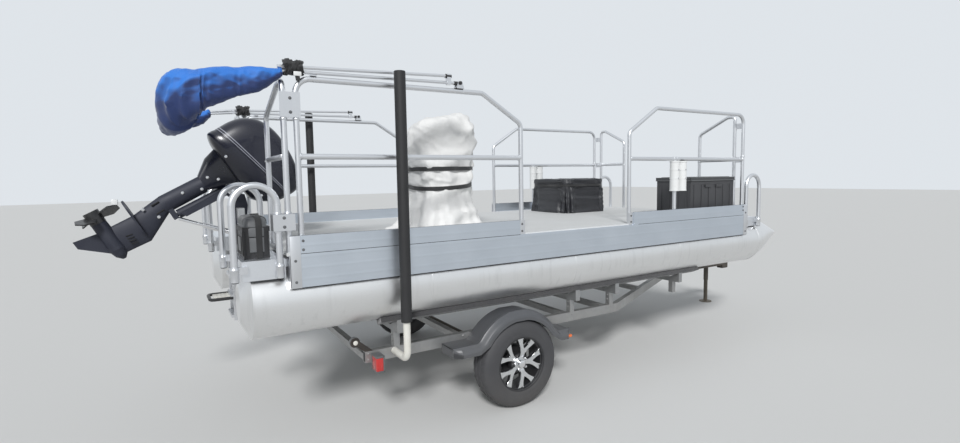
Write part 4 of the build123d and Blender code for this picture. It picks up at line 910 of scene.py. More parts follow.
@dataclass(frozen=True)
class Boot:
    """Canopy rolled in its cover: two arms and the roll across the stern. Sizes in millimetres."""

    arm_y: float = 1182.7
    # Arms from fore to aft: station, height of the middle, half width, half height
    starboard_arm: Rows = (
        (-1772, 2608, 24, 22), (-1796, 2596, 40, 34), (-1900, 2550, 56, 68), (-2000, 2524, 62, 80),
        (-2068, 2508, 68, 90), (-2190, 2472, 86, 116), (-2245, 2448, 98, 134),
    )
    port_arm: Rows = (
        (-2004, 2596, 22, 24), (-2022, 2590, 40, 40), (-2068, 2544, 60, 62), (-2190, 2516, 82, 82),
        (-2245, 2500, 96, 92),
    )
    # Roll from starboard to port: y, station, height of the middle, half length, half height
    roll: Rows = (
        (-1083, -2348, 2398, 106, 168), (-900, -2348, 2392, 106, 174), (-740, -2346, 2400, 106, 168),
        (-500, -2354, 2447, 98, 114), (-250, -2356, 2452, 96, 108), (0, -2356, 2450, 96, 108),
        (250, -2356, 2452, 96, 108), (500, -2354, 2452, 98, 104), (740, -2350, 2456, 102, 102),
        (1083, -2348, 2466, 104, 98),
    )
    points: int = 96
    # Sections between two rows of a table, and steps and radius of the turn into the roll
    fill: int = 12
    corner: int = 14
    corner_radius: float = 100.0
    # Pleats: depth everywhere, at the bends and at the tied ends, and sections over which the last two fade
    pleats: Point = (2.0, 19.0, 4.0)
    fades: Pair = (11.0, 9.0)
    # Lashings: turns, their first station, how far apart they lie, height of their middle and radius
    lashing_turns: int = 6
    lashing_x: float = -1752.0
    lashing_pitch: float = 19.0
    lashing_z: float = 2636.0
    lashing_radius: float = 43.0
    # Width and thickness of the webbing
    webbing: Pair = (26.0, 9.0)
    # Loose end of the webbing, and its buckle: station, y and height
    tail: Rows = ((-1690, 1222, 2600), (-1688, 1228, 2575), (-1684, 1230, 2548))
    buckle: Rows = ((-1712, -1664), (1224, 1240), (2576, 2604))
    # Bare bows on the port side: height at the fore and at the aft end
    bows: Rows = ((2610, 2588), (2636, 2606))
    bow_ends: Pair = (-1797.0, -2050.0)

    def ring(self, middle: Vector, across: Vector, half: float, tall: float) -> list[Vector]:
        """One section that sags a little at its foot.

        Args:
            middle: Middle of the section.
            across: Level direction of the section.
            half: Half of its width.
            tall: Half of its height.

        Returns:
            The points of the section.
        """
        ring = []
        for angle in turned(self.points):
            u, v = oval(angle, 2.25)
            v = v * tall if v > 0 else v * tall * (1.0 + 0.05 * math.cos(3 * angle))
            ring.append(middle + across * (u * half / 1000) + UP * (v / 1000))
        return ring

    def arm(self, side: float, table: Rows, foot: Sequence[float]) -> list[list[Vector]]:
        """Sections of one arm and of its turn into the roll.

        Args:
            side: -1 for starboard, 1 for port.
            table: The arm's rows.
            foot: The roll's row that the arm turns into.

        Returns:
            The sections from the fore end to the roll.
        """
        rows = [self.ring(mm(x, side * self.arm_y, z), Vector((0, -side, 0)), half, tall)
                for x, z, half, tall in blend_rows(table, self.fill)]
        start = table[-1]
        for i in range(1, self.corner):
            share = i / self.corner
            s, c = math.sin(math.radians(90 * share)), math.cos(math.radians(90 * share))
            z, half, tall = (a + (b - a) * share for a, b in zip(start[1:], foot[2:]))
            y = self.arm_y - self.corner_radius * (1 - c)
            middle = mm(start[0] - self.corner_radius * s, side * y, z)
            rows.append(self.ring(middle, Vector((s, -side * c, 0)), half, tall))
        return rows

    def rings(self) -> list[list[Vector]]:
        """Sections from the fore end of the starboard arm round to that of the port arm.

        Returns:
            The sections.
        """
        rows = self.arm(-1.0, self.starboard_arm, self.roll[0])
        for y, x, z, half, tall in blend_rows(self.roll, self.fill):
            rows.append(self.ring(mm(x, y, z), FORWARD, half, tall))
        rows.extend(reversed(self.arm(1.0, self.port_arm, self.roll[-1])))
        return rows

    def pleat(self, rows: list[list[Vector]]) -> list[list[Vector]]:
        """Gathers the cloth in sharp pleats across both bends and at the tied ends.

        Args:
            rows: The plain sections.

        Returns:
            The pleated sections.
        """
        last = len(rows) - 1
        arms = (self.starboard_arm, self.port_arm)
        before, after = (self.fill * (len(arm) - 1) + self.corner // 2 for arm in arms)
        pleated = []
        for i, row in enumerate(rows):
            middle = sum(row, Vector()) / len(row)
            tied = min(i, last - i)
            ways = (min(abs(i - before), abs(i - last + after)), tied)
            at_bend, at_end = (math.exp(-((way / fade) ** 2)) for way, fade in zip(ways, self.fades))
            deep = self.pleats[0] + self.pleats[1] * at_bend + self.pleats[2] * at_end
            deep *= min(1.0, tied / 4)
            ring = []
            for angle, spot in zip(turned(self.points), row):
                away = spot - middle
                lean = 2.2 * math.sin(angle + 0.9) + 2.5 * noise.noise(spot * 3.0)
                ridge = 1.0 - 2.0 * abs(math.sin(i * math.pi / 6 + lean))
                share = 0.55 - 0.45 * math.sin(angle)
                ring.append(spot + away.normalized() * (deep / 1000 * ridge * share))
            pleated.append(ring)
        return pleated

    def build(self) -> None:
        """Builds the cloth, the bare bows on the port side and the lashings."""
        form = Form().skin(self.pleat(self.rings()))
        form.ruffle(amount=8, size=320, tall=0.7)
        form.fold(amount=12, size=300, lean=0.8, seed=3.0).fold(amount=4, size=100, lean=-0.6, seed=7.0)
        boot = form.place("boot_cover", "bimini", "boot_cloth", crease=75, replaces=["bimini_boot"])
        bows = Form()
        for heights in self.bows:
            bows.tube([mm(x, self.arm_y, z) for x, z in zip(self.bow_ends, heights)], 11.5, 20)
        bows.place("boot_bows", "bimini", "rail_aluminium")
        for name, side in SIDES:
            self.lashing(name, side)

    def lashing(self, name: str, side: float) -> None:
        """Black webbing turned round the bows, with its buckle hanging outboard.

        Args:
            name: Name of the side.
            side: -1 for starboard, 1 for port.
        """
        form = Form()
        for k in range(self.lashing_turns):
            x = self.lashing_x + self.lashing_pitch * k
            path = []
            for angle in turned(28):
                reach = self.lashing_radius + 7 * math.sin(3 * angle + 2.1 * k) + 4 * math.sin(7 * angle + k)
                path.append(mm(x + 9 * math.sin(2 * angle + k), side * self.arm_y + reach * math.cos(angle),
                               self.lashing_z + 0.92 * reach * math.sin(angle)))
            out = [(spot - mm(x, side * self.arm_y, self.lashing_z)).normalized() for spot in path]
            form.band(path + path[:2], out + out[:2], *self.webbing)
        tail = [mm(x, side * y, z) for x, y, z in self.tail]
        form.band(tail, [TO_PORT * side] * len(tail), 28, 4)
        form.place(f"boot_lashing_{name}", "bimini", "boot_cloth", "webbing", crease=50)
        stations, widths, heights = self.buckle
        buckle = Form().brick(stations, [side * y for y in widths], heights, 4)
        buckle.place(f"boot_buckle_{name}", "bimini", "boot_cloth", "white_plastic")


@dataclass(frozen=True)
class Outboard:
    """Rounded cowl and the fittings of the tilted outboard. Upright sizes in millimetres."""

    tilt: Point = (-1925.0, 0.0, 1790.0)
    angle: float = 62.0
    half: float = 170.0
    least_half: float = 12.0
    # Crown and pan outlines from the seam: forward, up
    aft_edge: Rows = ((-547, 121), (-558, 245), (-540, 352), (-476, 448), (-360, 508), (-215, 524))
    fore_edge: Rows = ((180, 328), (176, 400), (150, 452), (70, 500), (-30, 520), (-130, 525))
    pan_aft: Rows = ((-547, 119), (-549, 90), (-538, 58), (-486, 40), (-430, 37))
    pan_fore: Rows = ((180, 326), (172, 240), (118, 136), (66, 78), (20, 64))
    seam_aft: Rows = ((-547, 117), (-547, 124))
    seam_fore: Rows = ((180, 322), (180, 330))
    # Apron below the pan: height, fore end, aft end, half width
    apron: Rows = ((66, -40, -450, 72), (40, -60, -420, 72), (-60, -120, -385, 72), (-172, -165, -292, 70))
    # First and last row of each stripe on the crown
    stripes: Rows = ((5, 7), (12, 14))
    # Forward, outboard and up of each bolt head, and of both ends of each intake slit
    bolts: Rows = ((-330, 166, 70), (-60, 165, 110), (-200, 73, -60), (-250, 73, -120), (-190, 66, -200),
                   (-230, 62, -330), (-150, 50, -560), (-250, 50, -620), (60, 158, 140))
    slits: Rows = ((-60, 37, -770, -68, 36, -815), (-82, 37, -770, -90, 36, -815),
                   (-104, 37, -770, -112, 36, -815), (-126, 37, -770, -134, 36, -815))
    vents: Rows = ((-250, 48, -500, -246, 46, -560), (-180, 48, -500, -176, 46, -560))
    anode: Point = (-385.0, -20.0, -742.0)
    anode_half: float = 20.0
    # Rams: y, upright place of the foot, station and height of the head
    ram_y: float = 62.0
    ram_foot: Pair = (-70.0, -455.0)
    ram_head: Pair = (-1990.0, 1505.0)
    rod_radius: float = 11.0
    barrel_radius: float = 18.0
    # Where the barrel starts, as a share of the way from the foot
    barrel_start: float = 0.45

    def spot(self, x: float, y: float, z: float) -> Vector:
        """Point from its place on the upright outboard."""
        c, s = math.cos(math.radians(self.angle)), math.sin(math.radians(self.angle))
        return mm(self.tilt[0] + x * c + z * s, y, self.tilt[2] - x * s + z * c)

    def shell(self, aft: Rows, fore: Rows, ease: float, grow: float = 0.0,
              steps: int = 5) -> list[list[Vector]]:
        """Rings between an aft and a fore outline.

        Args:
            aft: Outline of the aft edge, from the seam.
            fore: Outline of the fore edge.
            ease: Power by which the sides close over, or 0 where they only draw in.
            grow: How far the rings stand off the shell.
            steps: Rings for each gap of the outlines.

        Returns:
            The rings.
        """
        rows = []
        pairs = list(zip(blend_rows(aft, steps), blend_rows(fore, steps)))
        for i, ((x0, z0), (x1, z1)) in enumerate(pairs):
            share = i / (len(pairs) - 1)
            narrow = (1 - share**ease) ** (1 / ease) if ease else 1 - 0.42 * share**2
            half = max(self.half * narrow, self.least_half)
            ring = []
            for u, v in (oval(angle, 3.0) for angle in turned(56)):
                x, z = (x0 + x1) / 2 + u * (x1 - x0) / 2, (z0 + z1) / 2 + u * (z1 - z0) / 2
                ring.append(self.spot(x + grow * math.copysign(1, u), v * (half + grow), z))
            rows.append(ring)
        return rows

    def build(self) -> None:
        """Builds the cowl, its stripes and seam, and the small fittings."""
        top = self.shell(self.aft_edge, self.fore_edge, ease=3.0)
        Form().skin(top).place("cowl_crown", "motor", "cowl_paint", crease=50, replaces=["cowl_top"])
        form = Form().skin(self.shell(self.pan_aft, self.pan_fore, ease=0.0))
        rings = []
        for z, fore, aft, half in self.apron:
            ovals = (oval(angle, 3.2) for angle in turned(40))
            rings.append([self.spot((fore + aft) / 2 + u * (fore - aft) / 2, v * half, z) for u, v in ovals])
        form.skin(rings)
        form.place("cowl_pan", "motor", "cowl_paint", crease=50, replaces=["cowl_base"])
        seam = self.shell(self.seam_aft, self.seam_fore, ease=0.0, grow=-1.5)
        Form().skin(seam, ends=False).place("cowl_seam", "motor", "cowl_paint", "webbing")
        rows = self.shell(self.aft_edge, self.fore_edge, ease=3.0, grow=0.9, steps=40)
        for i, (low, high) in enumerate(self.stripes):
            stripe = Form().skin(rows[low:high + 1], ends=False)
            stripe.place(f"cowl_stripe_{i}", "motor", "cowl_paint", "stripe")
        self.rams()
        self.fittings()

    def rams(self) -> None:
        """Builds the two hydraulic rams beside the leg."""
        (head_x, head_z), (foot_x, foot_z) = self.ram_head, self.ram_foot
        head, foot = mm(head_x, 0, head_z), self.spot(foot_x, 0, foot_z)
        bars = Form()
        for _, side in SIDES:
            shift = TO_PORT * (side * self.ram_y / 1000)
            bars.tube([foot + shift, head + shift], self.rod_radius, 14)
            bars.tube([foot.lerp(head, self.barrel_start) + shift, head + shift], self.barrel_radius, 14)
        rams = bars.place("motor_rams", "", "leg_paint", "chrome")
        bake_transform(rams)

    def fittings(self) -> None:
        """Builds bolt heads, anode, and dark strokes in the intake slits as painted shade."""
        bolts = Form()
        for _, side in SIDES:
            for x, y, z in self.bolts:
                bolts.bolt(self.spot(x, side * y, z), TO_PORT * side, 7.5)
        bolts.place("motor_bolts", "motor", "leg_paint", "chrome")
        middle, half = self.spot(*self.anode), (FORWARD + TO_PORT + UP) * (self.anode_half / 1000)
        pale = Form().block(middle - half, middle + half, 4)
        pale.place("motor_anode", "motor", "leg_paint", "white_plastic")
        # Black strokes along the intake slits and vents: painted shade inside the openings
        slits = Form()
        for _, side in SIDES:
            for rows, radius in ((self.slits, 4), (self.vents, 6)):
                for x0, y0, z0, x1, y1, z1 in rows:
                    slits.tube([self.spot(x0, side * y0, z0), self.spot(x1, side * y1, z1)], radius, 8)
        slits.place("motor_slit_shadows", "motor", "leg_paint", "shadow")


@dataclass(frozen=True)
class DrapedCover:
    """Loose cloth cover over something square. Sizes in millimetres, the flat cloth in metres."""

    name: str
    node: str
    slot: str
    middle: Pair
    # Height, length, width, shift forward, depth of the folds, slope of the top
    rings: Rows
    flat: Pair
    area: float
    # Height of each strap, and how far it sags
    straps: Rows
    seed: float
    power: float = 3.0
    folds: int = 9
    crisp: float = 0.4
    peak: float = 0.0
    strap_width: float = 26.0
    points: int = 180
    # Points to each side over which a strap is pulled taut, and over which it eases
    taut: int = 4
    ease: int = 5

    def ring(self, z: float, length: float, width: float, shift: float, fold: float,
             slope: float) -> list[Vector]:
        """One level line of the cloth.

        Args:
            z: Height of the line.
            length: Length between its ends.
            width: Width between its sides.
            shift: How far its middle lies forward.
            fold: Depth of the folds.
            slope: Rise towards the peak.

        Returns:
            The points of the line.
        """
        line = []
        for angle in turned(self.points):
            u, v = oval(angle, self.power)
            wave = math.sin(self.folds * angle + self.seed + z * 0.002)
            wave += 0.7 * math.sin((self.folds * 2 - 3) * angle + z * 0.004 + 2 * self.seed)
            around = Vector((math.cos(angle) * 2.6, math.sin(angle) * 2.6, z * 0.003 + self.seed))
            wave += 0.8 * noise.noise(around)
            grow = 1 + fold * wave / max(length, width)
            x = shift + u * length / 2 * grow
            y = v * width / 2 * grow
            line.append(mm(self.middle[0] + x, self.middle[1] + y, z + slope * (x - self.peak * y)))
        return line

    def strap(self, tree: BVHTree, z: float, dip: float) -> Form:
        """Strap pulled round the cloth.

        Args:
            tree: The cloth's surface.
            z: Height of the strap.
            dip: How far it sags at its lowest.

        Returns:
            The strap's form.
        """
        middle = mm(*self.middle, z)
        centres, out, reaches = [], [], []
        for angle in turned(self.points):
            away = Vector((math.cos(angle), math.sin(angle), 0))
            centre = middle - UP * (dip / 1000 * (1 + math.cos(angle - 4.0)))
            hit = tree.ray_cast(centre + away * 1.5, -away)[0]
            centres.append(centre)
            out.append(away)
            reaches.append((hit - centre).length if hit else 0.3)
        count = len(reaches)
        near, wide = range(-self.taut, self.taut + 1), range(-self.ease, self.ease + 1)
        taut = [max(reaches[(i + k) % count] for k in near) for i in range(count)]
        path = []
        for i, (centre, away) in enumerate(zip(centres, out)):
            path.append(centre + away * (sum(taut[(i + k) % count] for k in wide) / len(wide) + 0.003))
        return Form().band(path + path[:1], out + out[:1], self.strap_width, 3)

    def build(self) -> None:
        """Builds the cloth and its straps."""
        form = Form().skin([self.ring(*row) for row in blend_rows(self.rings, 7)], ends=False)
        form.ruffle(amount=4, size=200, tall=0.6, seed=self.seed)
        form.fold(amount=30 * self.crisp, size=360, lean=0.6, seed=self.seed)
        form.fold(amount=11, size=130, lean=-0.5, seed=self.seed + 4)
        for vert in form.mesh.verts:
            vert.co.z = max(vert.co.z, self.rings[0][0] / 1000)
        tree = BVHTree.FromBMesh(form.mesh)
        cloth = form.place(f"{self.name}_cloth", "boat", self.slot, crease=70, replaces=[self.node])
        for i, (z, dip) in enumerate(self.straps):
            self.strap(tree, z, dip).place(f"{self.name}_strap_{i}", "boat", self.slot, "webbing")


HELM = DrapedCover(
    "helm", "console_cover", "helm_cloth", (-345, -520),
    ((1457, 790, 780, -20, 46, 0), (1466, 760, 750, -20, 44, 0), (1510, 660, 690, -8, 36, 0),
     (1640, 560, 600, 0, 24, 0), (1800, 520, 556, 0, 12, 0), (1868, 500, 536, 0, 6, 0),
     (1930, 524, 560, 0, 12, 0), (1995, 512, 540, -2, 6, 0), (2060, 556, 580, -4, 10, 0),
     (2200, 596, 612, -6, 5, 0.02), (2290, 590, 606, -6, 3, 0.04), (2350, 556, 580, -4, 2, 0.07),
     (2396, 490, 520, 4, 1, 0.10), (2424, 390, 420, 18, 1, 0.12), (2440, 230, 250, 34, 1, 0.14),
     (2446, 4, 4, 50, 0, 0.14)),
    (2.65, 1.6), 2.5, straps=((2000, 2), (1890, 30)), seed=0.7, crisp=1.0, peak=0.7, strap_width=34.0)
BENCH = DrapedCover(
    "bench", "bench_cover", "bench_cloth", (2125, 600),
    ((1457, 680, 730, 0, 22, 0), (1490, 672, 722, 0, 24, 0), (1560, 660, 712, 0, 22, 0),
     (1660, 652, 704, 0, 16, 0), (1760, 650, 700, 0, 8, 0), (1800, 648, 698, 0, 2, 0),
     (1845, 648, 698, 0, 1, 0), (1868, 640, 690, 0, 1, 0), (1875, 620, 670, 0, 0, 0),
     (1877, 420, 470, 0, 3, 0), (1874, 200, 240, 0, 3, 0), (1873, 4, 4, 0, 0, 0)),
    (2.2, 1.1), 1.75, straps=((1800, 0),), seed=2.2, power=9.0, folds=13)


@dataclass(frozen=True)
class DeckEdge(Sided):
    """Corner trims, seams, a painted shadow line under the skirt and bolts along one side of the deck."""

    face: float = 1220.0
    aft: float = -1777.0
    fore: float = 3213.0
    low: float = 1222.0
    seam: float = 1444.0
    top: float = 1562.0
    # Length of a corner trim, and how far it goes round behind the deck's end
    trim: float = 62.0
    return_y: float = 1150.0
    # Toe boards: aft end, fore end
    boards: Rows = ((-1777.0, 39.0), (1378.0, 3213.0))
    # Station and height of each bolt, and how far out the surface under it stands
    bolts: Rows = (
        (-1697, 1528, 0), (-1697, 1470, 0), (67, 1530, -12), (67, 1472, -12), (1350, 1530, -12),
        (1350, 1472, -12), (3140, 1540, 0), (3140, 1500, 0), (3186, 1470, 3), (3186, 1260, 3),
        (-1750, 1260, 3), (-1750, 1400, 3),
    )

    def build(self) -> None:
        """Builds the edge's pieces."""
        trims = Form()
        face, plate = self.face, 3
        outer, inner = (face, face + plate), (self.return_y, face + plate)
        for end, inward, behind in ((self.aft, 1, 10), (self.fore, -1, 4)):
            length = (end - inward * 4, end + inward * self.trim)
            self.brick(trims, length, outer, (self.low - 2, self.top), 1.2)
            start = end - inward * behind
            self.brick(trims, (start, start + inward * plate), inner, (self.low, self.seam - 14), 1.2)
        self.fit(trims, "corner_trims", "skirt_aluminium", "rail_aluminium")
        lines = Form()
        for start, end in self.boards:
            seam = (self.seam - 1.5, self.seam + 2)
            self.brick(lines, (start + 60, end), (face - 1, face + 0.4), seam, 0.3)
        # Black strip along the skirt's lower edge: painted shadow of the gap over the pontoon
        self.brick(lines, (self.aft, self.fore), (face - 13, face - 2), (self.low - 6, self.low), 1)
        for board in self.boards:
            self.brick(lines, board, (face - 17.7, face - 16), (self.top, self.top + 1.2), 0.3)
        self.fit(lines, "skirt_seams_and_shadow_line", "skirt_aluminium", "shadow")
        bolts = Form()
        for station, height, out in self.bolts:
            bolts.bolt(self.at(station, face + out, height), self.out, 6.2)
        # Dark grey on the steel bolt heads: painted shade, as the heads sit in shadow
        self.fit(bolts, "deck_bolts", "rail_aluminium", "cap_grey")


@dataclass(frozen=True)
class RailFittings(Sided):
    """Collars, weld beads, sleeves and bolts of the rails and hoops on one side."""

    rail: float = 1182.7
    middle: float = 2073.0
    # Station and y of each hoop leg, and heights of its sleeve, of the band over it and of its plug
    legs: Rows = ((-2109, 1204.8), (-1843, 1204.8), (-2109, 523.2), (-1843, 523.2), (3253, 1181.8),
                  (3506, 1181.8))
    sleeve_z: float = 1300.0
    band_z: float = 1765.0
    plug_z: float = 1294.0
    # Station, y, height and tube radius of each collar round an upright
    collars: Rows = (
        (-1776, 1182.7, 2306, 19), (-1697, 1182.7, 2306, 19), (-1776, 1182.7, 1590, 19),
        (-1776, 1182.7, 1708, 19), (-1843, 1204.8, 1590, 21.5), (-1843, 1204.8, 1708, 21.5),
        (3164, 1182.7, 2100, 19), (-1776, 565.7, 2058, 19), (3190, 611.7, 2058, 19),
    )
    # Ends of each run of the middle rail: station, which way it goes on
    tees: Rows = ((-1678, 1), (57, -1), (1363, 1), (1983, -1), (2021, 1), (3145, -1))
    # The same across the stern: y, which way it goes on
    stern: float = -1776.0
    stern_tees: Rows = ((1163, -1), (584.7, 1))
    # Station, y and height of each bolt that points outboard
    bolts: Rows = ((-1736, 1208, 2440), (-1736, 1208, 2352), (-1810, 1236.8, 1684), (-1810, 1236.8, 1626))
    # Turned profiles: rise, radius
    bead: Rows = ((0, 18.5), (2, 22.5), (6, 22.5), (9, 18.8))
    sleeve: Rows = ((0, 21), (0, 25.5), (70, 25.5), (73, 27.5), (79, 27.5), (82, 25.5), (94, 25), (96, 21))
    band: Rows = ((0, 21.4), (1, 22.6), (6, 22.6), (7, 21.4))
    plug: Rows = ((0, 19), (3, 22), (7, 22))
    pivot: Rows = ((-3, 14), (4, 14), (8, 9))
    # Middle station and height of the canopy's pivot
    saddle: Pair = (-494.0, 2630.0)
    # Pad under the saddle: stations from its middle, y from and to, heights from the pivot
    pad: Rows = ((-33, 33), (1161, 1204), (-40, -32))
    pivot_y: float = 25.5
    # Sleeves of the bows over the saddle: station, height, length, radius
    bow_ends: Rows = ((-612, 2676, 52, 15.8), (-540, 2629, 40, 14.5))

    def build(self) -> None:
        """Builds the fittings of this side."""
        metal = Form()
        for station, y, z, r in self.collars:
            collar = [(0, r), (0, r + 4.5), (2, r + 5.5), (9, r + 5.5), (11, r + 4.5), (11, r)]
            metal.lathe(self.at(station, y, z), UP, collar, 28)
        for station, y in self.legs:
            metal.lathe(self.at(station, y, self.sleeve_z), UP, self.sleeve, 28)
            metal.lathe(self.at(station, y, self.band_z), UP, self.band, 28)
        for station, way in self.tees:
            metal.lathe(self.at(station, self.rail, self.middle), FORWARD * way, self.bead, 28, ends=False)
        for y, way in self.stern_tees:
            metal.lathe(self.at(self.stern, y, self.middle), self.out * way, self.bead, 28, ends=False)
        self.fit(metal, "rail_collars", "rail_aluminium")
        plugs = Form()
        for station, y in self.legs:
            plugs.lathe(self.at(station, y, self.plug_z), UP, self.plug, 28)
        station, z = self.saddle
        stations, widths, heights = self.pad
        self.brick(plugs, [station + x for x in stations], widths, [z + rise for rise in heights])
        for way in (-1, 1):
            plugs.lathe(self.at(station, self.rail + way * self.pivot_y, z), self.out * way, self.pivot, 20)
        self.fit(plugs, "rail_plugs", "rail_aluminium", "webbing")
        ends = Form()
        for station, z, reach, r in self.bow_ends:
            cover = [(0, r - 4), (3, r), (reach - 3, r), (reach, r - 4)]
            ends.lathe(self.at(station, self.rail, z), FORWARD, cover, 24)
        self.fit(ends, "bow_ends", "rail_aluminium", "webbing", "bimini")
        bolts = Form()
        for spot in self.bolts:
            bolts.bolt(self.at(*spot), self.out)
        # Dark grey on the steel bolt heads: painted shade, as on the deck bolts
        self.fit(bolts, "rail_bolts", "rail_aluminium", "cap_grey")


@dataclass(frozen=True)
class RodTubes(Sided):
    """Clamps, flared mouths and a painted shadow in the bore of the rod tubes on one side."""

    rail: float = 1182.7
    stations: Pair = (2002.0, 2114.0)
    radius: float = 46.0
    bore: float = 38.2
    top: float = 2052.0
    # Rings and clamps: height, how far they stand out, how tall they are
    rings: Rows = ((2038, 4, 14), (1748, 3, 12), (1868, 2.5, 16), (1956, 2.5, 16))
    bolt_heights: Sequence[float] = (1876, 1964)

    def build(self) -> None:
        """Builds mouths, rings, a dark disc in the bore as painted shadow, and bolts."""
        white, dark, bolts = Form(), Form(), Form()
        r = self.radius
        for station in self.stations:
            for z, grow, tall in self.rings:
                ring = [(0, r - 1), (1, r + grow), (tall - 1, r + grow), (tall, r - 1)]
                white.lathe(self.at(station, self.rail, z), UP, ring, 40, ends=False)
            for z in self.bolt_heights:
                bolts.bolt(self.at(station, self.rail + r + 2, z), self.out, 6)
        # Dark disc just under the mouth: painted shadow of the tube's deep inside
        mouth = self.at(self.stations[1], self.rail, self.top)
        dark.lathe(mouth, UP, [(-2, 0.0), (-1, self.bore)], 40)
        self.fit(white, "rod_tube_rings", "white_plastic")
        self.fit(dark, "rod_tube_bore_shadow", "white_plastic", "shadow")
        self.fit(bolts, "rod_tube_bolts", "white_plastic", "chrome")


@dataclass(frozen=True)
class Battery:
    """Domed ribbed cap, side panel and hold-down strap of the battery box. Sizes in millimetres."""

    middle: Pair = (-1957.5, -920.0)
    half: Pair = (77.5, 160.0)
    rim: float = 1625.0
    # Height over the rim, share of the box's half sizes
    dome: Rows = (
        (-62, 1.045), (-54, 1.05), (-10, 1.05), (0, 1.02), (8, 0.985), (14, 0.965), (30, 0.94), (46, 0.88),
        (58, 0.75), (64, 0.52), (66, 0.1),
    )
    ribs: int = 5
    # First height of the ribs and how far they rise, and their radius
    rib: Point = (14.0, 50.0, 5.5)
    # Plates on the outboard and the aft face: stations, y from and to
    plates: Rows = ((-2001, -1913, -1085.3, -1088), (-2041.5, -2040.3, -980, -860))
    plate_z: Pair = (1462.0, 1556.0)
    # Strap: its station, then y and height of its points
    strap_x: float = -1942.0
    strap: Rows = ((-1088, 1424), (-1089, 1600), (-1086, 1640), (-1060, 1682), (-1000, 1694), (-920, 1696),
                   (-840, 1694), (-780, 1682), (-754, 1640), (-751, 1600), (-752, 1424))

    def ring(self, rise: float, share: float) -> list[Vector]:
        """Level outline of the cap.

        Args:
            rise: Height over the rim.
            share: Its share of the box's half sizes.

        Returns:
            The points of the outline.
        """
        (x, y), (long, wide) = self.middle, self.half
        ovals = (oval(angle, 4.5) for angle in turned(64))
        return [mm(x + u * long * share, y + v * wide * share, self.rim + rise) for u, v in ovals]

    def rib_path(self, y: float) -> list[Vector]:
        """Path of one rib over the cap.

        Args:
            y: Where the rib stands.

        Returns:
            The points of the path.
        """
        path = []
        reach = self.half[0] * (0.95 - 0.04 * abs(y - self.middle[1]) / self.half[1])
        for k in range(13):
            c, s = math.cos(math.pi * k / 12), math.sin(math.pi * k / 12)
            x = self.middle[0] - math.copysign(abs(c) ** 0.6, c) * reach
            path.append(mm(x, y, self.rim + self.rib[0] + self.rib[1] * s**0.55))
        return path

    def build(self) -> None:
        """Builds cap, ribs, panel and strap."""
        cap = Form().skin([self.ring(rise, share) for rise, share in self.dome])
        for i in range(self.ribs):
            y = self.middle[1] + self.half[1] * 1.5 * ((i + 0.5) / self.ribs - 0.5)
            cap.tube(self.rib_path(y), self.rib[2], 10)
        cap.place("battery_cap", "boat", "battery_plastic", "cap_grey", crease=50)
        panel = Form()
        for (x0, x1, y0, y1), bevel in zip(self.plates, (1, 0.5)):
            panel.brick((x0, x1), (y0, y1), self.plate_z, bevel)
        panel.place("battery_panel", "boat", "battery_plastic", "cap_grey")
        path = [mm(self.strap_x, y, z) for y, z in blend_rows(self.strap, 3)]
        out = [(spot - mm(self.strap_x, self.middle[1], 1540)).normalized() for spot in path]
        strap = Form().band(path, out, 38, 3)
        strap.brick((self.strap_x - 26, self.strap_x + 26), (-945, -895), (1695, 1703), 2)
        strap.place("battery_strap", "boat", "battery_plastic", "webbing")


@dataclass(frozen=True)
class HullFittings(Sided):
    """Weld rings and nose handle of one pontoon."""

    middle: float = 971.0
    height: float = 1116.0
    radius: float = 246.0
    # Stations of the rings over the bunks, and how far each goes round from the top, in degrees
    rings: Sequence[float] = (-760.0, 660.0, 2080.0)
    reach: float = 128.0
    # Nose handle: station and height of its points, then of its two feet
    handle: Rows = ((3552, 1354), (3552, 1376), (3566, 1392), (3600, 1396), (3634, 1390), (3648, 1372),
                    (3648, 1342))
    feet: Rows = ((3552, 1352), (3648, 1338))
    foot: Rows = ((0, 17), (6, 17), (9, 10))

    def build(self) -> None:
        """Builds the rings over the bunks and the fittings on the nose."""
        beads = Form()
        turns = [math.radians(self.reach * (i / 48 - 1)) for i in range(97)]
        out = [Vector((0, math.sin(turn), math.cos(turn))) for turn in turns]
        for station in self.rings:
            centre = self.at(station, self.middle, self.height)
            beads.band([centre + away * (self.radius / 1000) for away in out], out, 10, 3)
        self.fit(beads, "hull_welds", "hull_aluminium")
        handle = Form()
        handle.tube([self.at(x, self.middle, z) for x, z in blend_rows(self.handle, 3)], 8)
        for x, z in self.feet:
            handle.lathe(self.at(x, self.middle, z), UP, self.foot, 20)
        self.fit(handle, "nose_handle", "hull_aluminium", "webbing")


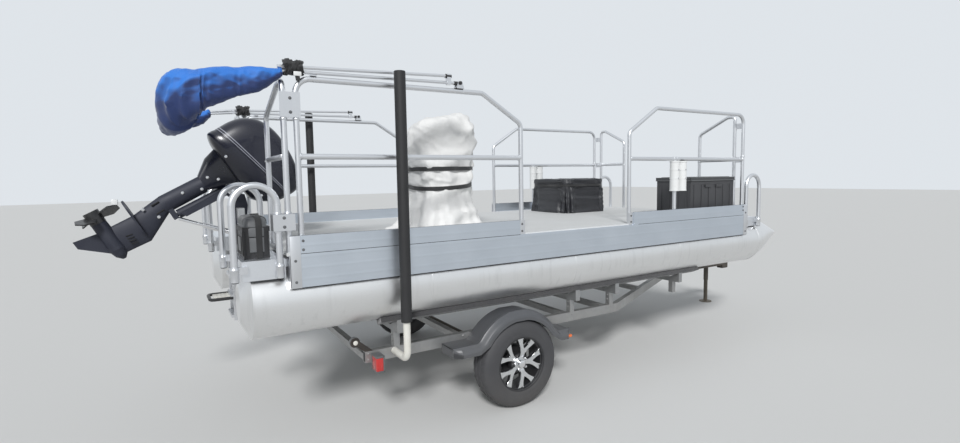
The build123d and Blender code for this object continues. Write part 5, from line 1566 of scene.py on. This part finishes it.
@dataclass(frozen=True)
class TailLights:
    """Lamp housings with their aft and outboard lenses. Sizes in millimetres."""

    length: Pair = (-1205.0, -1140.0)
    width: Pair = (1040.0, 1150.0)
    height: Pair = (512.0, 634.0)
    # Frame of the lenses: height of its hood and of its sill, width of its posts
    hood: float = 16.0
    sill: float = 10.0
    post: float = 12.0
    # Round reflector on a lens: rise, radius
    reflector: Rows = ((-2, 24), (0, 24), (0.8, 22), (0.8, 17), (-1, 15))

    def build(self) -> None:
        """Builds the housings, the lenses and the ribs between them."""
        aft, fore = self.length
        low, top = self.height
        shell, lens, ribs = Form(), Form(), Form()
        window, middle = (low + self.sill, top - self.hood), (low + top) / 2
        for _, side in SIDES:
            inner, outer = (side * y for y in self.width)
            shell.brick((aft + 6, fore), (inner, outer - side * 6), (low + 2, top - 2), 3)
            shell.brick((aft, fore), (inner, outer), (top - self.hood, top), 4)
            shell.brick((aft, fore), (inner, outer), (low, low + self.sill), 4)
            shell.brick((aft, aft + self.post), (inner, inner + side * self.post), (low, top), 2)
            shell.brick((fore - self.post, fore), (outer - side * self.post, outer), (low, top), 2)
            lens.brick((aft + 1, aft + 9), (inner + side * self.post, outer - side * 3), window, 2.5)
            lens.brick((aft + 4, fore - self.post), (outer - side * 9, outer - side), window, 2.5)
            lens.lathe(mm(aft + 1, (inner + outer) / 2, middle), -FORWARD, self.reflector, 32)
            lens.lathe(mm((aft + fore) / 2 - 4, outer - side, middle), TO_PORT * side, self.reflector, 32)
            ribs.brick((aft + 0.2, aft + 3), (outer - side * 34, outer - side * 30), window, 0.5)
        shell.place("tail_housings", "boat", "lamp_red", "cap_grey", replaces=["tail_lights"])
        lens.place("tail_lenses", "boat", "lamp_red")
        ribs.place("tail_ribs", "boat", "lamp_red", "webbing")


@dataclass(frozen=True)
class TrailerFittings(Sided):
    """Roller, post cap, rubber stop, bolts and axle clamps on one side."""

    # Inner and outer face of the frame's side rail
    inner: float = 990.0
    outer: float = 1040.0
    # Station and height of the stern roller
    roller: Pair = (-1320.0, 730.0)
    # Station and y of the guide post, and its top
    post: Pair = (-1020.0, 1290.0)
    post_top: float = 2650.0
    # Turned profiles: rise, radius
    tread: Rows = ((0, 34), (1, 37), (15, 38.5), (30, 37), (31, 34))
    hub: Rows = ((0, 17), (4, 17), (7, 12), (8, 0))
    post_cap: Rows = ((0, 39), (2, 39.6), (6, 38), (8, 30), (9, 0))
    # Stations of the bolts on the side rail, and of the bunk brackets that are bolted from aft
    bolts: Sequence[float] = (-1225, -420, 753, 1260)
    bolt_heights: Pair = (630.0, 588.0)
    brackets: Sequence[float] = (-1000, 753, 1260)
    bracket_heights: Pair = (700.0, 745.0)
    # Rubber stop on the rail's aft end, axle plate and spring hangers: stations, heights
    stop: Rows = ((-1250.6, -1247), (571, 644))
    axle_plate: Rows = ((-52, 52), (446, 454))
    hangers: Rows = ((-354, -306), (306, 354))
    hanger_z: Pair = (480.0, 560.0)
    # Clamp round the axle: station and height
    clamp: Rows = ((-37, 452), (-37, 374), (-34, 356), (-24, 342), (0, 336), (24, 342), (34, 356), (37, 374),
                   (37, 452))

    def build(self) -> None:
        """Builds the fittings of this side."""
        tread = Form().lathe(self.at(self.roller[0], 1000, self.roller[1]), self.out, self.tread, 32)
        self.fit(tread, "roller_tread", "guide_foam", "cap_grey")
        rubber = Form().lathe(self.at(*self.post, self.post_top), UP, self.post_cap, 36)
        self.brick(rubber, self.stop[0], (self.inner + 5, self.outer - 5), self.stop[1], 1)
        self.fit(rubber, "roller_rubber", "guide_foam")
        pale = Form().lathe(self.at(self.roller[0], 1040, self.roller[1]), self.out, self.hub, 24)
        self.fit(pale, "roller_hub", "guide_pipe")
        bolts = Form()
        for station in self.bolts:
            for z in self.bolt_heights:
                bolts.bolt(self.at(station, self.outer, z), self.out, 6)
        for station in self.brackets:
            for z in self.bracket_heights:
                bolts.bolt(self.at(station - 26, (self.inner + self.outer) / 2, z), -FORWARD, 8)
        for y in (self.inner - 2, self.outer + 2):
            bolts.tube([self.at(x, y, z) for x, z in self.clamp], 6, 10)
        self.fit(bolts, "trailer_bolts", "trailer_zinc")
        plates = Form()
        self.brick(plates, self.axle_plate[0], (self.inner - 10, self.outer + 10), self.axle_plate[1])
        for stations in self.hangers:
            self.brick(plates, stations, (self.outer - 3, self.outer + 3), self.hanger_z)
        self.fit(plates, "axle_plates", "trailer_zinc")


@dataclass(frozen=True)
class Winch:
    """Wound webbing, drum flanges and cheeks of the bow winch, and the bow stop. Sizes in millimetres."""

    # Station and height of the drum and of the bow stop
    drum: Pair = (3455.0, 1372.0)
    stop: Pair = (3265.0, 1290.0)
    # Turned profiles: distance to port, radius
    wound: Rows = ((-50, 52.5), (-48, 54.5), (48, 54.5), (50, 52.5))
    flange: Rows = ((0, 66), (1, 68), (7, 68), (8, 66))
    flange_y: Pair = (-62.0, 54.0)
    # Heights of the cross bars and of the cheeks
    bar_z: Pair = (1318.0, 1346.0)
    cheek_z: Pair = (1322.0, 1380.0)
    # Half the distance between the two bars, and y of the cheeks
    bar_x: float = 28.0
    cheek_y: float = 64.0
    rubber: Rows = ((-71, 30), (-68, 45), (-20, 45.5), (0, 44.5), (20, 45.5), (68, 45), (71, 30))

    def build(self) -> None:
        """Builds the webbing, the flanges and the bow stop's rubber."""
        x, z = self.drum
        wound = Form().lathe(mm(x, 0, z), TO_PORT, self.wound, 40)
        wound.place("winch_webbing", "boat", "trailer_zinc", "strap_grey")
        metal = Form()
        for y in self.flange_y:
            metal.lathe(mm(x, y, z), TO_PORT, self.flange, 40)
        for foot in (x - self.bar_x, x + self.bar_x):
            metal.brick((foot - 4, foot + 4), (-66, 66), self.bar_z, 1)
            for y in (-self.cheek_y, self.cheek_y):
                metal.brick((foot - 14, foot + 14), (y - 3, y + 3), self.cheek_z, 1)
        metal.place("winch_cheeks", "boat", "trailer_zinc")
        rubber = Form().lathe(mm(self.stop[0], 0, self.stop[1]), TO_PORT, self.rubber, 36)
        rubber.place("bow_stop_rubber", "boat", "trailer_zinc", "guide_foam")


@dataclass(frozen=True)
class LadderStep:
    """Black hand loop with its pale tread plate on the ladder. Sizes in millimetres."""

    fore: float = -2052.0
    aft: float = -2205.0
    width: Pair = (-474.0, -256.0)
    height: float = 1058.0
    corner: float = 30.0
    ridges: int = 4
    # Ridges of the tread plate: distance of the first from the aft end, pitch, width
    ridge: Point = (44.0, 26.0, 8.0)

    def build(self) -> None:
        """Builds the loop and its plate."""
        (a, b), c, z, aft, fore = self.width, self.corner, self.height, self.aft, self.fore
        line = ((fore, a), (aft + c, a), (aft + 8, a + 8), (aft, a + c), (aft, b - c), (aft + 8, b - 8),
                (aft + c, b), (fore, b))
        loop = Form().tube([mm(x, y, z) for x, y in line], 12, 14)
        loop.place("ladder_loop", "ladder", "rail_aluminium", "webbing", crease=50)
        plate = Form().brick((aft + 26, fore), (a + 14, b - 14), (z - 4, z + 4))
        first, pitch, wide = self.ridge
        for k in range(self.ridges):
            x = aft + first + pitch * k
            plate.brick((x, x + wide), (a + 22, b - 22), (z + 3, z + 7), 1.5)
        plate.place("ladder_plate", "ladder", "rail_aluminium", "guide_pipe")


@dataclass(frozen=True)
class BoxLid:
    """Raised panels and rim of the deck box's lid. Sizes in millimetres."""

    length: Pair = (2370.0, 3150.0)
    width: Pair = (-1105.0, -642.0)
    height: Pair = (1840.3, 1880.0)
    panels: int = 2
    # Distance of the panels from the lid's edge, and gap between them
    margin: float = 40.0
    gap: float = 20.0

    def build(self) -> None:
        """Builds the lid's pieces."""
        (x0, x1), (y0, y1), (low, top) = self.length, self.width, self.height
        rim = Form()
        for inset, z0, z1 in ((-3, low, low + 9), (-2, top - 7, top - 1)):
            rim.brick((x0 + inset, x1 - inset), (y0 + inset, y0 + 6), (z0, z1), 1.5)
            rim.brick((x0 + inset, x0 + 6), (y0 + inset, y1 - inset), (z0, z1), 1.5)
            rim.brick((x1 - 6, x1 - inset), (y0 + inset, y1 - inset), (z0, z1), 1.5)
        pitch = (x1 - x0 - 2 * self.margin + self.gap) / self.panels
        for k in range(self.panels):
            start = x0 + self.margin + k * pitch
            widths = (y0 + self.margin, y1 - self.margin)
            rim.brick((start, start + pitch - self.gap), widths, (top - 2, top + 5), 4)
        rim.place("box_lid_panels", "box_lid", "box_resin", "cap_grey")


def dress_nodes() -> None:
    """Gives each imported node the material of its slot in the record."""
    for row in frame["record"]["subparts"]:
        node = frame["nodes"][row["node"]]
        material = MATERIALS[row["material_slot"]]
        if not node.material_slots:
            node.data.materials.append(material)
        for slot in node.material_slots:
            slot.link = "OBJECT"
            slot.material = material
    log.info("dressed %d nodes", len(frame["nodes"]))


@dataclass(frozen=True)
class Viewpoint:
    """The camera, with its place in millimetres and its angles in degrees."""

    lens: float = 19.52
    place: Point = (-2464.4, -4685.1, 1921.7)
    yaw: float = 58.604
    pitch: float = 4.878
    roll: float = -0.9404

    def set_up(self) -> None:
        """Makes the scene's camera."""
        yaw, pitch, roll = (math.radians(angle) for angle in (self.yaw, self.pitch, self.roll))
        ahead = Vector((math.cos(pitch) * math.cos(yaw), math.cos(pitch) * math.sin(yaw), -math.sin(pitch)))
        level = Vector((math.sin(yaw), -math.cos(yaw), 0.0))
        over = level.cross(ahead)
        right = level * math.cos(roll) + over * math.sin(roll)
        up = over * math.cos(roll) - level * math.sin(roll)
        data = bpy.data.cameras.new("camera")
        data.lens = self.lens
        data.sensor_width = 36.0
        data.clip_end = 200.0
        camera = bpy.data.objects.new("camera", data)
        turn = Matrix((right, up, -ahead)).transposed().to_4x4()
        camera.matrix_world = Matrix.Translation(mm(*self.place)) @ turn
        bpy.context.scene.collection.objects.link(camera)
        bpy.context.scene.camera = camera


@dataclass(frozen=True)
class Studio:
    """Plain pale floor and soft light. The floor's size in metres, places in millimetres."""

    floor_half: float = 60.0
    floor_color: Color = (0.66, 0.66, 0.65)
    sky_color: Color = (0.74, 0.78, 0.82)
    sky_light: float = 0.5
    key_power: float = 2.7
    key_width: float = math.radians(12)
    key_place: Point = (-5000.0, -9000.0, 9000.0)
    key_aim: Point = (800.0, 0.0, 1200.0)

    def floor(self) -> None:
        """Lays the floor."""
        half = self.floor_half
        corners = [(-half, -half, 0), (half, -half, 0), (half, half, 0), (-half, half, 0)]
        mesh = bpy.data.meshes.new("floor")
        mesh.from_pydata(corners, [], [(0, 1, 2, 3)])
        floor = bpy.data.objects.new("floor", mesh)
        bpy.context.scene.collection.objects.link(floor)
        material = bpy.data.materials.new("floor")
        shader = Shader(material)
        tone = shader.mix(shader.speckle(0.01, 2.0) * 0.15, self.floor_color, toned(self.floor_color, 0.94))
        shader.close("ShaderNodeBsdfPrincipled", {"Base Color": tone, "Roughness": 0.9})
        mesh.materials.append(material)

    def sky(self) -> None:
        """Sets a pale sky that shows at full strength and lights more gently."""
        world = bpy.data.worlds.new("studio")
        bpy.context.scene.world = world
        shader = Shader(world)
        camera = shader.node("ShaderNodeLightPath", {}, {}, "Is Camera Ray")
        glossy = shader.node("ShaderNodeLightPath", {}, {}, "Is Glossy Ray")
        glass = shader.node("ShaderNodeLightPath", {}, {}, "Is Transmission Ray")
        strength = (camera | glossy | glass) * (1.0 - self.sky_light) + self.sky_light
        inputs = {"Color": (*self.sky_color, 1.0), "Strength": strength}
        shader.close("ShaderNodeBackground", inputs, "ShaderNodeOutputWorld")

    def key(self) -> None:
        """Adds the key lamp."""
        data = bpy.data.lights.new("key", "SUN")
        data.energy = self.key_power
        data.angle = self.key_width
        lamp = bpy.data.objects.new("key", data)
        lamp.location = mm(*self.key_place)
        lamp.rotation_euler = (mm(*self.key_aim) - lamp.location).to_track_quat("-Z", "Y").to_euler()
        bpy.context.scene.collection.objects.link(lamp)

    def set_up(self) -> None:
        """Builds floor, sky and lamp."""
        self.floor()
        self.sky()
        self.key()
        bpy.context.scene.view_settings.view_transform = "Standard"


def main() -> None:
    """Builds every sub-assembly in order."""
    logging.basicConfig(level=logging.INFO, format="%(message)s")
    Viewpoint().set_up()
    Studio().set_up()
    dress_nodes()
    for name, side in SIDES:
        for kind in (Wheel, Fender, DeckEdge, RailFittings, RodTubes, HullFittings, TrailerFittings):
            kind(name, side).build()
            log.info("built %s to %s", kind.__name__, name)
    for part in (Boot(), Outboard(), HELM, BENCH, Battery(), TailLights(), Winch(), LadderStep(), BoxLid()):
        part.build()
        log.info("built %s", type(part).__name__)


if __name__ == "__main__":
    main()
